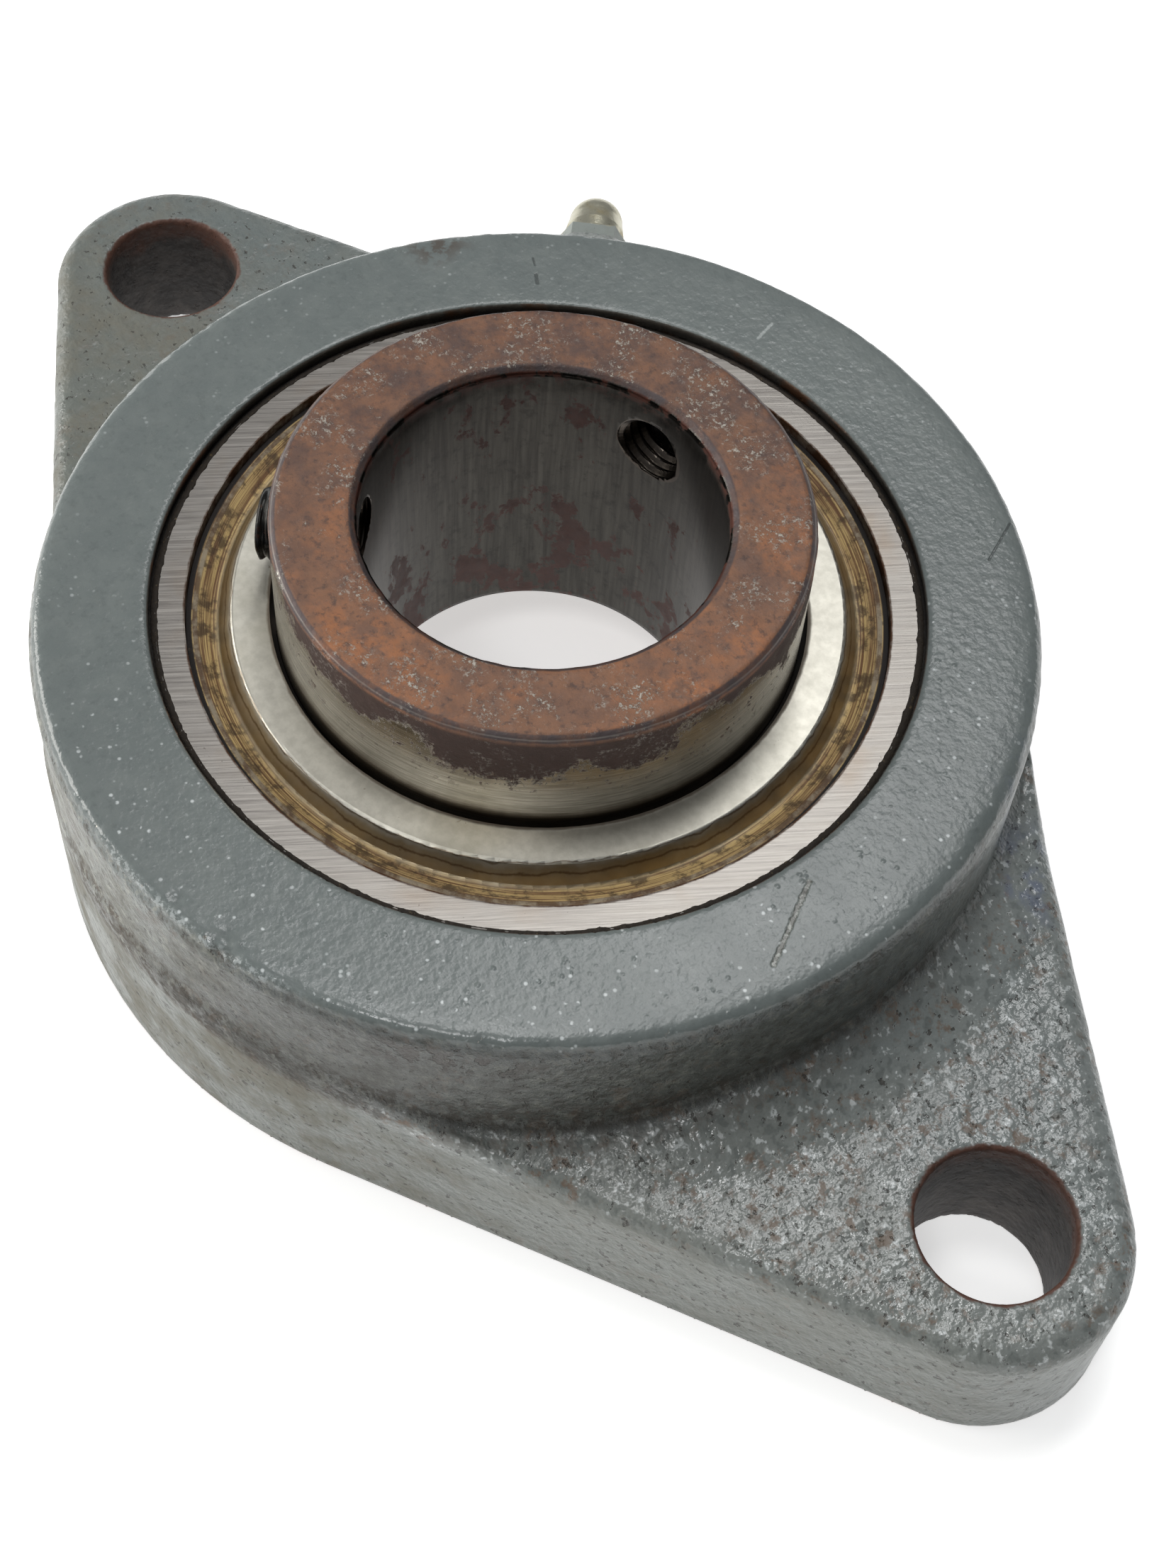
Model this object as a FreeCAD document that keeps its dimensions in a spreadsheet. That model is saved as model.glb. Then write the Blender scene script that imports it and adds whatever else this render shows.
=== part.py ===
"""Two-bolt flange bearing unit: a cast housing with a self-aligning wide-ring ball insert.

The shaft axis is Z, the mounting face is Z = 0 and the two bolt holes lie on the X axis.
"""
import FreeCAD, Part

import math
import os

import Sketcher
from FreeCAD import Placement, Rotation, Vector

# Driving dimensions in millimetres and degrees

SIZES = [
    ("bore_diameter", 31.75, "Shaft bore of the inner ring"),
    ("ring_diameter", 46.8, "Outside of the inner ring"),
    ("ring_front_reach", 22.5, "Ball plane to the front end of the inner ring"),
    ("ring_back_reach", 11.0, "Ball plane to the back end of the inner ring"),
    ("ring_bore_chamfer", 0.7, "Chamfer at both ends of the bore"),
    ("ring_edge_chamfer", 0.6, "Chamfer at both outer ends of the inner ring"),
    ("ball_diameter", 11.1125, "Balls"),
    ("ball_count", 9, "Number of balls"),
    ("pitch_rise", 3.35, "Outside of the inner ring to the ball centres"),
    ("raceway_ratio", 1.03, "Groove radius over ball radius"),
    ("ball_play", 0.02, "Radial play between a ball and each raceway"),
    ("insert_rise", 12.6, "Outside of the inner ring to the spherical outside of the insert"),
    ("insert_width", 20.0, "Width of the outer ring"),
    ("insert_edge_chamfer", 0.7, "Chamfer at the outer edges of the outer ring"),
    ("shoulder_depth", 1.9, "Raceway bottom to the outer ring's shoulder"),
    ("recess_step", 0.9, "Shoulder to the wall of the shield recess"),
    ("seat_play", 0.03, "Radial play of the outer ring in the housing"),
    ("seat_height", 19.0, "Mounting face to the ball plane"),
    ("seat_back_depth", 10.0, "Ball plane to the back edge of the spherical seat"),
    ("slot_play", 0.3, "Play of the outer ring in the loading slots, each side"),
    ("lube_offset", 5.0, "Ball plane to the grease groove"),
    ("lube_groove_width", 2.4, "Grease groove round the outer ring"),
    ("lube_groove_depth", 0.7, "Depth of that groove at its middle"),
    ("lube_hole_diameter", 1.5, "Grease hole through the outer ring"),
    ("housing_height", 30.0, "Mounting face to the front face of the boss"),
    ("boss_diameter", 90.0, "Round boss"),
    ("boss_rim_radius", 1.2, "Rounding of the boss's front edge"),
    ("boss_root_radius", 4.5, "Fillet between boss and flange"),
    ("mouth_chamfer", 0.25, "Chamfer at the mouth of the seat"),
    ("flange_thickness", 14.8, "Flange at the bolt holes"),
    ("flange_ledge", 0.35, "Flange beyond the boss at its widest"),
    ("flange_edge_radius", 2.2, "Rounding of the flange's front edge"),
    ("flange_end_radius", 12.1, "Rounded ends of the flange"),
    ("bolt_spacing", 130.0, "Bolt hole to bolt hole"),
    ("bolt_hole_diameter", 13.5, "Bolt holes"),
    ("bolt_hole_edge", 0.5, "Rounding at the mouths of the bolt holes"),
    ("nipple_azimuth", 137.5, "Direction of the nipple from +X"),
    ("nipple_boss_stand", 1.2, "Face of the nipple's boss beyond the round boss"),
    ("nipple_boss_radius", 4.6, "Nipple's boss at its face"),
    ("nipple_boss_flare", 0.9, "Widening of the nipple's boss at the wall"),
    ("nipple_thread_radius", 3.0, "Threaded shank of the nipple"),
    ("nipple_thread_length", 5.0, "Length of that shank"),
    ("nipple_thread_play", 0.05, "Radial play of the shank in its hole"),
    ("nipple_end_gap", 0.3, "End of the shank to the bottom of its hole"),
    ("nipple_hex_width", 7.4, "Hexagon of the nipple across its flats"),
    ("nipple_hex_thickness", 1.8, "Thickness of that hexagon"),
    ("nipple_head_length", 6.1, "Hexagon to the tip of the head"),
    ("nipple_head_radius", 3.0, "Widest radius of the head"),
    ("nipple_neck_radius", 2.8, "Neck between hexagon and head"),
    ("nipple_neck_length", 0.6, "Length of that neck"),
    ("nipple_head_rise", 1.4, "Neck to the far end of the head's widest part"),
    ("nipple_head_edge", 0.2, "Neck to the near end of the head's widest part"),
    ("nipple_tip_radius", 2.75, "Round end of the head"),
    ("nipple_mouth_radius", 0.8, "Opening at the tip"),
    ("nipple_mouth_length", 0.35, "Length of that opening"),
    ("nipple_chamber_radius", 1.25, "Chamber for check ball and spring"),
    ("check_ball_radius", 1.1, "Check ball in the nipple"),
    ("check_gap", 0.02, "Gap between the check ball and what it rests on"),
    ("check_spring_radius", 0.9, "Spring of the nipple, to the middle of its wire"),
    ("check_spring_wire", 0.24, "Wire of that spring"),
    ("check_spring_turns", 4.0, "Turns of that spring"),
    ("passage_radius", 1.5, "Grease passage in the housing"),
    ("pocket_play", 0.1, "Play of a ball in its cage pocket"),
    ("cage_sheet", 0.9, "Sheet thickness of the cage halves"),
    ("cage_band", 3.6, "Radial width of the cage"),
    ("rivet_radius", 0.8, "Shanks of the cage rivets"),
    ("rivet_play", 0.03, "Radial play of the shanks in their holes"),
    ("rivet_head_radius", 1.25, "Heads of the cage rivets"),
    ("rivet_head_height", 0.5, "Height of those heads"),
    ("shield_sheet", 0.7, "Sheet thickness of the shields"),
    ("shield_rise", 0.05, "Shield's flat beyond the outer ring's face"),
    ("shield_rim_play", 0.05, "Play between shield rim and recess wall"),
    ("shield_rim_width", 0.9, "Rim of the shield"),
    ("shield_rim_height", 1.3, "Height of that rim"),
    ("shield_rim_share", 0.55, "Depth of the rim over the depth of the channel"),
    ("shield_channel_width", 0.6, "Bottom of the channel behind the rim"),
    ("shield_cage_gap", 0.74, "Cage to the underside of the channel"),
    ("shield_rim_slope", 1.3, "Radial run from rim to channel"),
    ("shield_lip_slope", 1.2, "Radial run from channel to flat"),
    ("shield_bend", 0.4, "Inward shift of the underside at the slopes"),
    ("shield_bend_radius", 0.35, "Rounding of the shield's bends"),
    ("shield_gap", 0.5, "Gap between shield and inner ring"),
    ("seal_play", 0.05, "Gap between seal lip and inner ring"),
    ("seal_width", 2.6, "Radial width of the rubber bonded to the shield"),
    ("seal_thickness", 0.8, "Thickness of that rubber"),
    ("seal_lip_height", 0.5, "Height of the sealing lip"),
    ("screw_azimuth", 106.0, "Direction of the first set screw from +X"),
    ("screw_spread", 120.0, "Angle between the two set screws"),
    ("screw_inset", 6.7, "Front end of the inner ring to the set screws"),
    ("screw_radius", 3.45, "Threaded hole for a set screw"),
    ("screw_play", 0.05, "Radial play of a set screw in its hole"),
    ("screw_length", 6.4, "Set screws"),
    ("screw_stand_out", 1.35, "Set screw beyond the outside of the inner ring"),
    ("screw_hex_width", 4.0, "Hexagon socket across its flats"),
    ("screw_hex_depth", 3.2, "Depth of that socket"),
    ("screw_point_radius", 2.1, "Point of a set screw"),
    ("screw_point_length", 0.9, "Length of that point"),
    ("screw_cup_depth", 0.5, "Depth of the cup in that point"),
    ("screw_edge_chamfer", 0.35, "Chamfer at the outer end of a set screw"),
    ("cut_margin", 1.0, "How far a cut runs past the material"),
]

document = FreeCAD.newDocument("FlangeBearingUnit")
sheet = document.addObject("Spreadsheet::Sheet", "Sizes")
for row, (alias, value, meaning) in enumerate(SIZES, start=1):
    sheet.set(f"A{row}", meaning)
    sheet.set(f"B{row}", str(value))
    sheet.setAlias(f"B{row}", alias)
document.recompute()


class Size:
    """A number that follows the sheet: its expression and what that comes to now."""

    def __init__(self, text, value):
        self.text = text
        self.value = value

    def __add__(self, other):
        other = as_size(other)
        return Size(f"({self.text} + {other.text})", self.value + other.value)

    def __sub__(self, other):
        other = as_size(other)
        return Size(f"({self.text} - {other.text})", self.value - other.value)

    def __mul__(self, other):
        other = as_size(other)
        return Size(f"({self.text} * {other.text})", self.value * other.value)

    def __truediv__(self, other):
        other = as_size(other)
        return Size(f"({self.text} / {other.text})", self.value / other.value)

    def __neg__(self):
        return Size(f"(0 - {self.text})", -self.value)


def as_size(number):
    """A plain number as a Size, and a Size as it is."""
    if isinstance(number, Size):
        return number
    return Size(str(number), float(number))


def size(alias):
    """A driving dimension of the sheet."""
    return Size(f"{sheet.Name}.{alias}", float(sheet.get(alias)))


def root(number):
    """Square root of a Size."""
    return Size(f"sqrt({number.text})", math.sqrt(number.value))


def leg(long_side, other_leg):
    """Second leg of a right triangle."""
    return root(long_side * long_side - other_leg * other_leg)


def cosine(angle):
    """Cosine of a Size in degrees."""
    return Size(f"cos({angle.text})", math.cos(math.radians(angle.value)))


def sine(angle):
    """Sine of a Size in degrees."""
    return Size(f"sin({angle.text})", math.sin(math.radians(angle.value)))


ZERO = as_size(0)

# Sizes worked out from the driving ones

bore_radius = size("bore_diameter") / 2
ring_radius = size("ring_diameter") / 2
ball_radius = size("ball_diameter") / 2
pitch_radius = ring_radius + size("pitch_rise")
groove_radius = ball_radius * size("raceway_ratio")
outer_raceway = pitch_radius + ball_radius + size("ball_play")
inner_raceway = pitch_radius - ball_radius - size("ball_play")
insert_radius = ring_radius + size("insert_rise")
half_insert = size("insert_width") / 2
shoulder_radius = outer_raceway - size("shoulder_depth")
recess_radius = shoulder_radius + size("recess_step")
cage_reach = ball_radius + size("pocket_play") + size("cage_sheet")
channel_z = cage_reach + size("shield_cage_gap") + size("shield_sheet")
rim_z = half_insert - (half_insert - channel_z) * size("shield_rim_share")
recess_floor = rim_z - size("shield_rim_height")
seat_radius = insert_radius + size("seat_play")
boss_radius = size("boss_diameter") / 2
seat_height = size("seat_height")
nipple_height = seat_height + size("lube_offset")
nipple_seat = boss_radius + size("nipple_boss_stand")
shank_start = nipple_seat - size("nipple_thread_length") + size("nipple_end_gap")
margin = size("cut_margin")
screw_height = seat_height + size("ring_front_reach") - size("screw_inset")


def fail(message):
    raise RuntimeError(message)


def bind(thing, field, number):
    """Tie a property of an object to the sheet."""
    thing.setExpression(field, number.text)


def new_body(label):
    body = document.addObject("PartDesign::Body", label)
    body.Label = label
    return body


def origin_plane(body, role):
    """A plane of the body's own origin."""
    for feature in body.Origin.OriginFeatures:
        if feature.Role == role:
            return feature
    return fail(f"{body.Label} has no {role}")


def new_sketch(body, name, role, height=ZERO, turn=ZERO):
    """A sketch on an origin plane, raised along its own Y and turned about its own Y."""
    sketch = body.newObject("Sketcher::SketchObject", name)
    sketch.AttachmentSupport = [(origin_plane(body, role), "")]
    sketch.MapMode = "FlatFace"
    turned = Rotation(Vector(0, 1, 0), turn.value)
    sketch.AttachmentOffset = Placement(Vector(0, height.value, 0), turned)
    if height is not ZERO:
        bind(sketch, "AttachmentOffset.Base.y", height)
    if turn is not ZERO:
        bind(sketch, "AttachmentOffset.Rotation.Angle", turn)
    return sketch


def pin(sketch, geometry, point, x, y):
    """Hold one point of a sketch at a place that follows the sheet."""
    for kind, axis, number in (("DistanceX", -2, x), ("DistanceY", -1, y)):
        if number is ZERO:
            sketch.addConstraint(Sketcher.Constraint("PointOnObject", geometry, point, axis))
            continue
        place = Sketcher.Constraint(kind, -1, 1, geometry, point, number.value)
        index = sketch.addConstraint(place)
        bind(sketch, f"Constraints[{index}]", number)


def arc_between(centre, radius, start, end, turns_left):
    """An arc about a centre, and which of its ends is the first one."""
    circle = Part.Circle(centre, Vector(0, 0, 1), radius)
    first, last = (start, end) if turns_left else (end, start)
    angles = [math.atan2(p.y - centre.y, p.x - centre.x) for p in (first, last)]
    if angles[1] <= angles[0]:
        angles[1] += 2 * math.pi
    arc = Part.ArcOfCircle(circle, angles[0], angles[1])
    return arc, (1, 2) if turns_left else (2, 1)


def outline(sketch, corners, arcs=None):
    """A closed outline through corners, with arcs in place of some of its lines.

    arcs maps the number of a side to (centre x, centre y, radius, turns left).
    """
    arcs = arcs or {}
    points = [Vector(x.value, y.value, 0) for x, y in corners]
    count = len(points)
    offset = sketch.GeometryCount
    ends = []
    for side, start in enumerate(points):
        end = points[(side + 1) % count]
        if side in arcs:
            x, y, radius, turns_left = arcs[side]
            centre = Vector(x.value, y.value, 0)
            shape, order = arc_between(centre, radius.value, start, end, turns_left)
        else:
            shape, order = Part.LineSegment(start, end), (1, 2)
        sketch.addGeometry(shape, False)
        ends.append(order)
    for side in range(count):
        after = (side + 1) % count
        joint = (offset + side, ends[side][1], offset + after, ends[after][0])
        sketch.addConstraint(Sketcher.Constraint("Coincident", *joint))
    for side, (x, y) in enumerate(corners):
        pin(sketch, offset + side, ends[side][0], x, y)
    for side, (_, _, radius, _) in arcs.items():
        round_side = Sketcher.Constraint("Radius", offset + side, radius.value)
        index = sketch.addConstraint(round_side)
        bind(sketch, f"Constraints[{index}]", radius)
    return sketch


def circle_at(sketch, x, y, radius):
    """A full circle in a sketch."""
    geometry = sketch.addGeometry(Part.Circle(Vector(x.value, y.value, 0), Vector(0, 0, 1), radius.value))
    pin(sketch, geometry, 3, x, y)
    index = sketch.addConstraint(Sketcher.Constraint("Radius", geometry, radius.value))
    bind(sketch, f"Constraints[{index}]", radius)
    return sketch


def hexagon(sketch, width):
    """A regular hexagon about the sketch's origin, given across its flats."""
    reach = width / math.sqrt(3)
    corners = []
    for corner in range(6):
        angle = math.radians(60 * corner)
        x = reach * round(math.cos(angle), 12)
        y = reach * round(math.sin(angle), 12)
        corners.append((x, y if corner % 3 else ZERO))
    return outline(sketch, corners)


def volume(body):
    document.recompute()
    return body.Shape.Volume


def add(body, kind, name, sketch, **settings):
    """A feature from a sketch, which has to change the body's volume the right way."""
    before = volume(body) if body.Tip and body.Tip.isDerivedFrom("PartDesign::Feature") else 0.0
    feature = body.newObject(f"PartDesign::{kind}", name)
    feature.Profile = sketch
    for field, value in settings.items():
        if isinstance(value, Size):
            bind(feature, field, value)
        else:
            setattr(feature, field, value)
    change = volume(body) - before
    cuts = kind in ("Pocket", "Groove", "Hole")
    if (change >= 0) if cuts else (change <= 0):
        fail(f"{body.Label}: {name} changes the volume by {change:.3f}")
    return feature


def turn_solid(body, name, sketch, axis="V_Axis"):
    return add(body, "Revolution", name, sketch, ReferenceAxis=(sketch, [axis]), Angle=360.0)


def turn_away(body, name, sketch, axis="V_Axis"):
    return add(body, "Groove", name, sketch, ReferenceAxis=(sketch, [axis]), Angle=360.0)


def dress(body, kind, name, radius, wanted):
    """A fillet or chamfer on the edges that a test picks."""
    document.recompute()
    base = body.Tip
    names = [f"Edge{i}" for i, edge in enumerate(base.Shape.Edges, start=1) if wanted(edge)]
    if not names:
        fail(f"{body.Label}: {name} finds no edge")
    feature = body.newObject(f"PartDesign::{kind}", name)
    feature.Base = (base, names)
    bind(feature, "Radius" if kind == "Fillet" else "Size", radius)
    document.recompute()
    if not feature.Shape.isValid():
        fail(f"{body.Label}: {name} is not valid")
    return feature


def ring_edge(radius, height):
    """Test for a circle about the Z axis."""
    def wanted(edge):
        curve = edge.Curve
        if not isinstance(curve, Part.Circle) or math.hypot(curve.Center.x, curve.Center.y) > 1e-3:
            return False
        near = abs(curve.Radius - radius.value) < 1e-3
        return near and abs(curve.Center.z - height.value) < 1e-3
    return wanted


def repeat(body, feature, name, count, angle):
    """Copies of a feature round the Z axis of the body."""
    pattern = body.newObject("PartDesign::PolarPattern", name)
    pattern.Originals = [feature]
    pattern.Axis = (origin_plane(body, "Z_Axis"), [""])
    bind(pattern, "Occurrences", count)
    bind(pattern, "Angle", angle)
    body.Tip = pattern
    document.recompute()
    return pattern


def place(thing, height=ZERO, turn=ZERO, axis=Vector(0, 0, 1), x=ZERO, y=ZERO):
    """Put a sub-part at its place in the unit."""
    thing.Placement = Placement(Vector(x.value, y.value, height.value), Rotation(axis, turn.value))
    for field, number in (("Base.x", x), ("Base.y", y), ("Base.z", height)):
        if number is not ZERO:
            bind(thing, f"Placement.{field}", number)
    if turn is not ZERO:
        bind(thing, "Placement.Rotation.Angle", turn)


# Housing

def flange_outline(sketch, mid_radius):
    """The flange's outline: a wide round middle, two small round ends and four tangents."""
    reach = size("bolt_spacing") / 2
    end = size("flange_end_radius")
    across = (mid_radius - end) / reach
    along = root(as_size(1) - across * across)
    mid_x, mid_y = mid_radius * across, mid_radius * along
    end_x, end_y = reach + end * across, end * along
    corners = [
        (end_x, -end_y), (end_x, end_y), (mid_x, mid_y), (-mid_x, mid_y),
        (-end_x, end_y), (-end_x, -end_y), (-mid_x, -mid_y), (mid_x, -mid_y),
    ]
    arcs = {
        0: (reach, ZERO, end, True),
        2: (ZERO, ZERO, mid_radius, True),
        4: (-reach, ZERO, end, True),
        6: (ZERO, ZERO, mid_radius, True),
    }
    return outline(sketch, corners, arcs)


def make_housing():
    body = new_body("housing")
    height = size("housing_height")
    thickness = size("flange_thickness")
    mid_radius = boss_radius + size("flange_ledge")
    disc_radius = size("bolt_spacing") / 2 + size("flange_end_radius") + margin

    profile = new_sketch(body, "BossProfile", "XZ_Plane")
    outline(profile, [
        (ZERO, ZERO), (disc_radius, ZERO), (disc_radius, thickness),
        (boss_radius, thickness), (boss_radius, height), (ZERO, height),
    ])
    turn_solid(body, "BossAndDisc", profile)
    dress(body, "Fillet", "BossRoot", size("boss_root_radius"), ring_edge(boss_radius, thickness))
    dress(body, "Fillet", "BossRim", size("boss_rim_radius"), ring_edge(boss_radius, height))

    trim = new_sketch(body, "FlangeOutline", "XY_Plane")
    flange_outline(trim, mid_radius)
    circle_at(trim, ZERO, ZERO, disc_radius + margin)
    add(body, "Pocket", "FlangeTrim", trim, Type="Length", Length=height + margin, Reversed=True)

    edge_band = thickness.value + size("boss_root_radius").value

    def front_edge(edge):
        """An edge round the front of the flange, where its top meets the cut side."""
        middle = edge.valueAt((edge.FirstParameter + edge.LastParameter) / 2)
        if middle.z < thickness.value - 1e-3 or middle.z > edge_band + 1e-3:
            return False
        return len(edge.Vertexes) == 2 and touches_side(edge, body.Tip.Shape)

    dress(body, "Fillet", "FlangeEdge", size("flange_edge_radius"), front_edge)

    make_nipple_boss(body)

    seat = new_sketch(body, "SeatProfile", "XZ_Plane")
    back_z = seat_height - size("seat_back_depth")
    back_radius = leg(seat_radius, size("seat_back_depth"))
    mouth_radius = leg(seat_radius, height - seat_height)
    outline(seat, [
        (ZERO, ZERO), (back_radius, ZERO), (back_radius, back_z),
        (mouth_radius, height), (ZERO, height),
    ], {2: (ZERO, seat_height, seat_radius, True)})
    turn_away(body, "Seat", seat)

    slots = new_sketch(body, "LoadingSlots", "XY_Plane")
    half_slot = half_insert + size("slot_play")
    slot_reach = seat_radius + size("slot_play")
    slot_x = leg(slot_reach, half_slot)
    outline(slots, [
        (slot_x, -half_slot), (slot_x, half_slot), (-slot_x, half_slot), (-slot_x, -half_slot),
    ], {0: (ZERO, ZERO, slot_reach, True), 2: (ZERO, ZERO, slot_reach, True)})
    add(body, "Pocket", "LoadingSlot", slots, Type="Length", Length=seat_height, Reversed=True)

    dress(body, "Chamfer", "Mouth", size("mouth_chamfer"), ring_edge(mouth_radius, height))

    bolts = new_sketch(body, "BoltHoles", "XY_Plane")
    for side in (1, -1):
        circle_at(bolts, size("bolt_spacing") / 2 * side, ZERO, size("bolt_hole_diameter") / 2)
    add(body, "Pocket", "BoltHole", bolts, Type="Length", Length=height, Reversed=True)

    def hole_edge(edge):
        curve = edge.Curve
        if not isinstance(curve, Part.Circle):
            return False
        return abs(curve.Radius - size("bolt_hole_diameter").value / 2) < 1e-3 and abs(curve.Axis.z) > 0.9
    dress(body, "Fillet", "BoltHoleEdge", size("bolt_hole_edge"), hole_edge)

    passage = new_sketch(body, "GreasePassage", "XZ_Plane", nipple_height, size("nipple_azimuth"))
    shank_hole = size("nipple_thread_radius") + size("nipple_thread_play")
    shank_end = nipple_seat - size("nipple_thread_length")
    outside = nipple_seat + margin
    narrow = size("passage_radius")
    outline(passage, [
        (ring_radius, ZERO), (outside, ZERO), (outside, shank_hole),
        (shank_end, shank_hole), (shank_end, narrow), (ring_radius, narrow),
    ])
    turn_away(body, "Passage", passage, "H_Axis")
    return body


def touches_side(edge, shape):
    """Whether an edge bounds an upright side face of the flange."""
    for face in shape.Faces:
        upright = isinstance(face.Surface, Part.Plane) and abs(face.Surface.Axis.z) < 1e-6
        if isinstance(face.Surface, Part.Cylinder) and abs(face.Surface.Axis.z) > 0.999:
            upright = upright or face.Surface.Radius > boss_radius.value + 1e-6
            upright = upright or math.hypot(face.Surface.Center.x, face.Surface.Center.y) > 1
        if upright and any(edge.isSame(other) for other in face.Edges):
            return True
    return False


def make_nipple_boss(body):
    """The small cone on the boss wall that carries the nipple."""
    profile = new_sketch(body, "NippleBossProfile", "XZ_Plane", nipple_height, size("nipple_azimuth"))
    inside = (seat_radius + boss_radius) / 2
    face_radius = size("nipple_boss_radius")
    foot_radius = face_radius + size("nipple_boss_flare")
    outline(profile, [
        (inside, ZERO), (nipple_seat, ZERO), (nipple_seat, face_radius),
        (boss_radius, foot_radius), (inside, foot_radius),
    ])
    turn_solid(body, "NippleBoss", profile, "H_Axis")


# Insert

def make_outer_ring():
    body = new_body("outer_ring")
    chamfer_dz = half_insert - size("insert_edge_chamfer")
    chamfer_r = leg(insert_radius, chamfer_dz)
    face_r = leg(insert_radius, half_insert) - size("insert_edge_chamfer")
    profile = new_sketch(body, "RingProfile", "XZ_Plane")
    outline(profile, [
        (shoulder_radius, -recess_floor), (recess_radius, -recess_floor), (recess_radius, -half_insert),
        (face_r, -half_insert), (chamfer_r, -chamfer_dz), (chamfer_r, chamfer_dz), (face_r, half_insert),
        (recess_radius, half_insert), (recess_radius, recess_floor), (shoulder_radius, recess_floor),
    ], {4: (ZERO, ZERO, insert_radius, True)})
    turn_solid(body, "Ring", profile)

    raceway = new_sketch(body, "RacewayProfile", "XZ_Plane")
    circle_at(raceway, outer_raceway - groove_radius, ZERO, groove_radius)
    turn_away(body, "Raceway", raceway)

    groove = new_sketch(body, "GreaseGroove", "XZ_Plane")
    half_groove = size("lube_groove_width") / 2
    offset = size("lube_offset")
    floor = leg(insert_radius, offset) - size("lube_groove_depth")
    outline(groove, [
        (floor, offset - half_groove), (insert_radius + margin, offset - half_groove),
        (insert_radius + margin, offset + half_groove), (floor, offset + half_groove),
    ])
    turn_away(body, "Groove", groove)

    hole = new_sketch(body, "GreaseHole", "YZ_Plane", turn=size("nipple_azimuth"))
    circle_at(hole, ZERO, offset, size("lube_hole_diameter") / 2)
    deep = insert_radius + margin
    add(body, "Pocket", "GreaseHolePocket", hole, Type="Length", Length=deep, Reversed=True)
    place(body, seat_height)
    return body


def make_inner_ring():
    body = new_body("inner_ring")
    front, back = size("ring_front_reach"), -size("ring_back_reach")
    bore_cut, edge_cut = size("ring_bore_chamfer"), size("ring_edge_chamfer")
    profile = new_sketch(body, "RingProfile", "XZ_Plane")
    outline(profile, [
        (bore_radius, back + bore_cut), (bore_radius + bore_cut, back), (ring_radius - edge_cut, back),
        (ring_radius, back + edge_cut), (ring_radius, front - edge_cut), (ring_radius - edge_cut, front),
        (bore_radius + bore_cut, front), (bore_radius, front - bore_cut),
    ])
    turn_solid(body, "Ring", profile)

    raceway = new_sketch(body, "RacewayProfile", "XZ_Plane")
    circle_at(raceway, inner_raceway + groove_radius, ZERO, groove_radius)
    turn_away(body, "Raceway", raceway)

    hole = new_sketch(body, "ScrewHoleCircle", "YZ_Plane", turn=size("screw_azimuth"))
    circle_at(hole, ZERO, front - size("screw_inset"), size("screw_radius"))
    deep = ring_radius + margin
    pocket = add(body, "Pocket", "ScrewHole", hole, Type="Length", Length=deep, Reversed=True)
    repeat(body, pocket, "ScrewHoles", as_size(2), size("screw_spread"))
    place(body, seat_height)
    return body


def make_shield(label, upside_down):
    """A stamped steel shield: rim in the recess, channel, sloped lip and flat."""
    body = new_body(label)
    sheet_t = size("shield_sheet")
    flat_z = half_insert + size("shield_rise")
    rim_out = recess_radius - size("shield_rim_play")
    rim_in = rim_out - size("shield_rim_width")
    channel_out = rim_in - size("shield_rim_slope")
    channel_in = channel_out - size("shield_channel_width")
    lip = channel_in - size("shield_lip_slope")
    flat_in = ring_radius + size("shield_gap")
    bend = size("shield_bend")
    profile = new_sketch(body, "ShieldProfile", "XZ_Plane")
    outline(profile, [
        (flat_in, flat_z), (flat_in, flat_z - sheet_t), (lip - bend, flat_z - sheet_t),
        (channel_in - bend, channel_z - sheet_t), (channel_out + bend, channel_z - sheet_t),
        (rim_in + bend, rim_z - sheet_t), (rim_in + bend, recess_floor), (rim_out, recess_floor),
        (rim_out, rim_z), (rim_in, rim_z), (channel_out, channel_z), (channel_in, channel_z), (lip, flat_z),
    ])
    turn_solid(body, "Pressing", profile)
    bends = [(rim_in, rim_z), (channel_out, channel_z), (channel_in, channel_z), (lip, flat_z)]
    tests = [ring_edge(radius, height) for radius, height in bends]
    dress(body, "Fillet", "Bends", size("shield_bend_radius"), lambda edge: any(t(edge) for t in tests))
    place(body, seat_height, as_size(180) if upside_down else ZERO, Vector(1, 0, 0))
    return body


def make_seal(label, upside_down):
    """The rubber washer bonded under a shield, with its lip at the inner ring."""
    body = new_body(label)
    top = half_insert + size("shield_rise") - size("shield_sheet")
    bottom = top - size("seal_thickness")
    lip_r = ring_radius + size("seal_play")
    root_r = ring_radius + size("shield_gap")
    outer = root_r + size("seal_width")
    profile = new_sketch(body, "SealProfile", "XZ_Plane")
    outline(profile, [
        (lip_r, bottom + size("seal_lip_height")), (lip_r, bottom), (root_r, bottom), (outer, bottom),
        (outer, top), (root_r, top),
    ])
    turn_solid(body, "Rubber", profile)
    place(body, seat_height, as_size(180) if upside_down else ZERO, Vector(1, 0, 0))
    return body


# Balls and cage

def ball_angle(number):
    """Direction of a ball from +X, in degrees."""
    return as_size(360) / size("ball_count") * number


def make_ball(number):
    ball = document.addObject("Part::Sphere", f"ball_{number + 1}")
    ball.Label = f"ball_{number + 1}"
    bind(ball, "Radius", ball_radius)
    angle = ball_angle(number)
    place(ball, seat_height, x=pitch_radius * cosine(angle), y=pitch_radius * sine(angle))
    return ball


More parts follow.
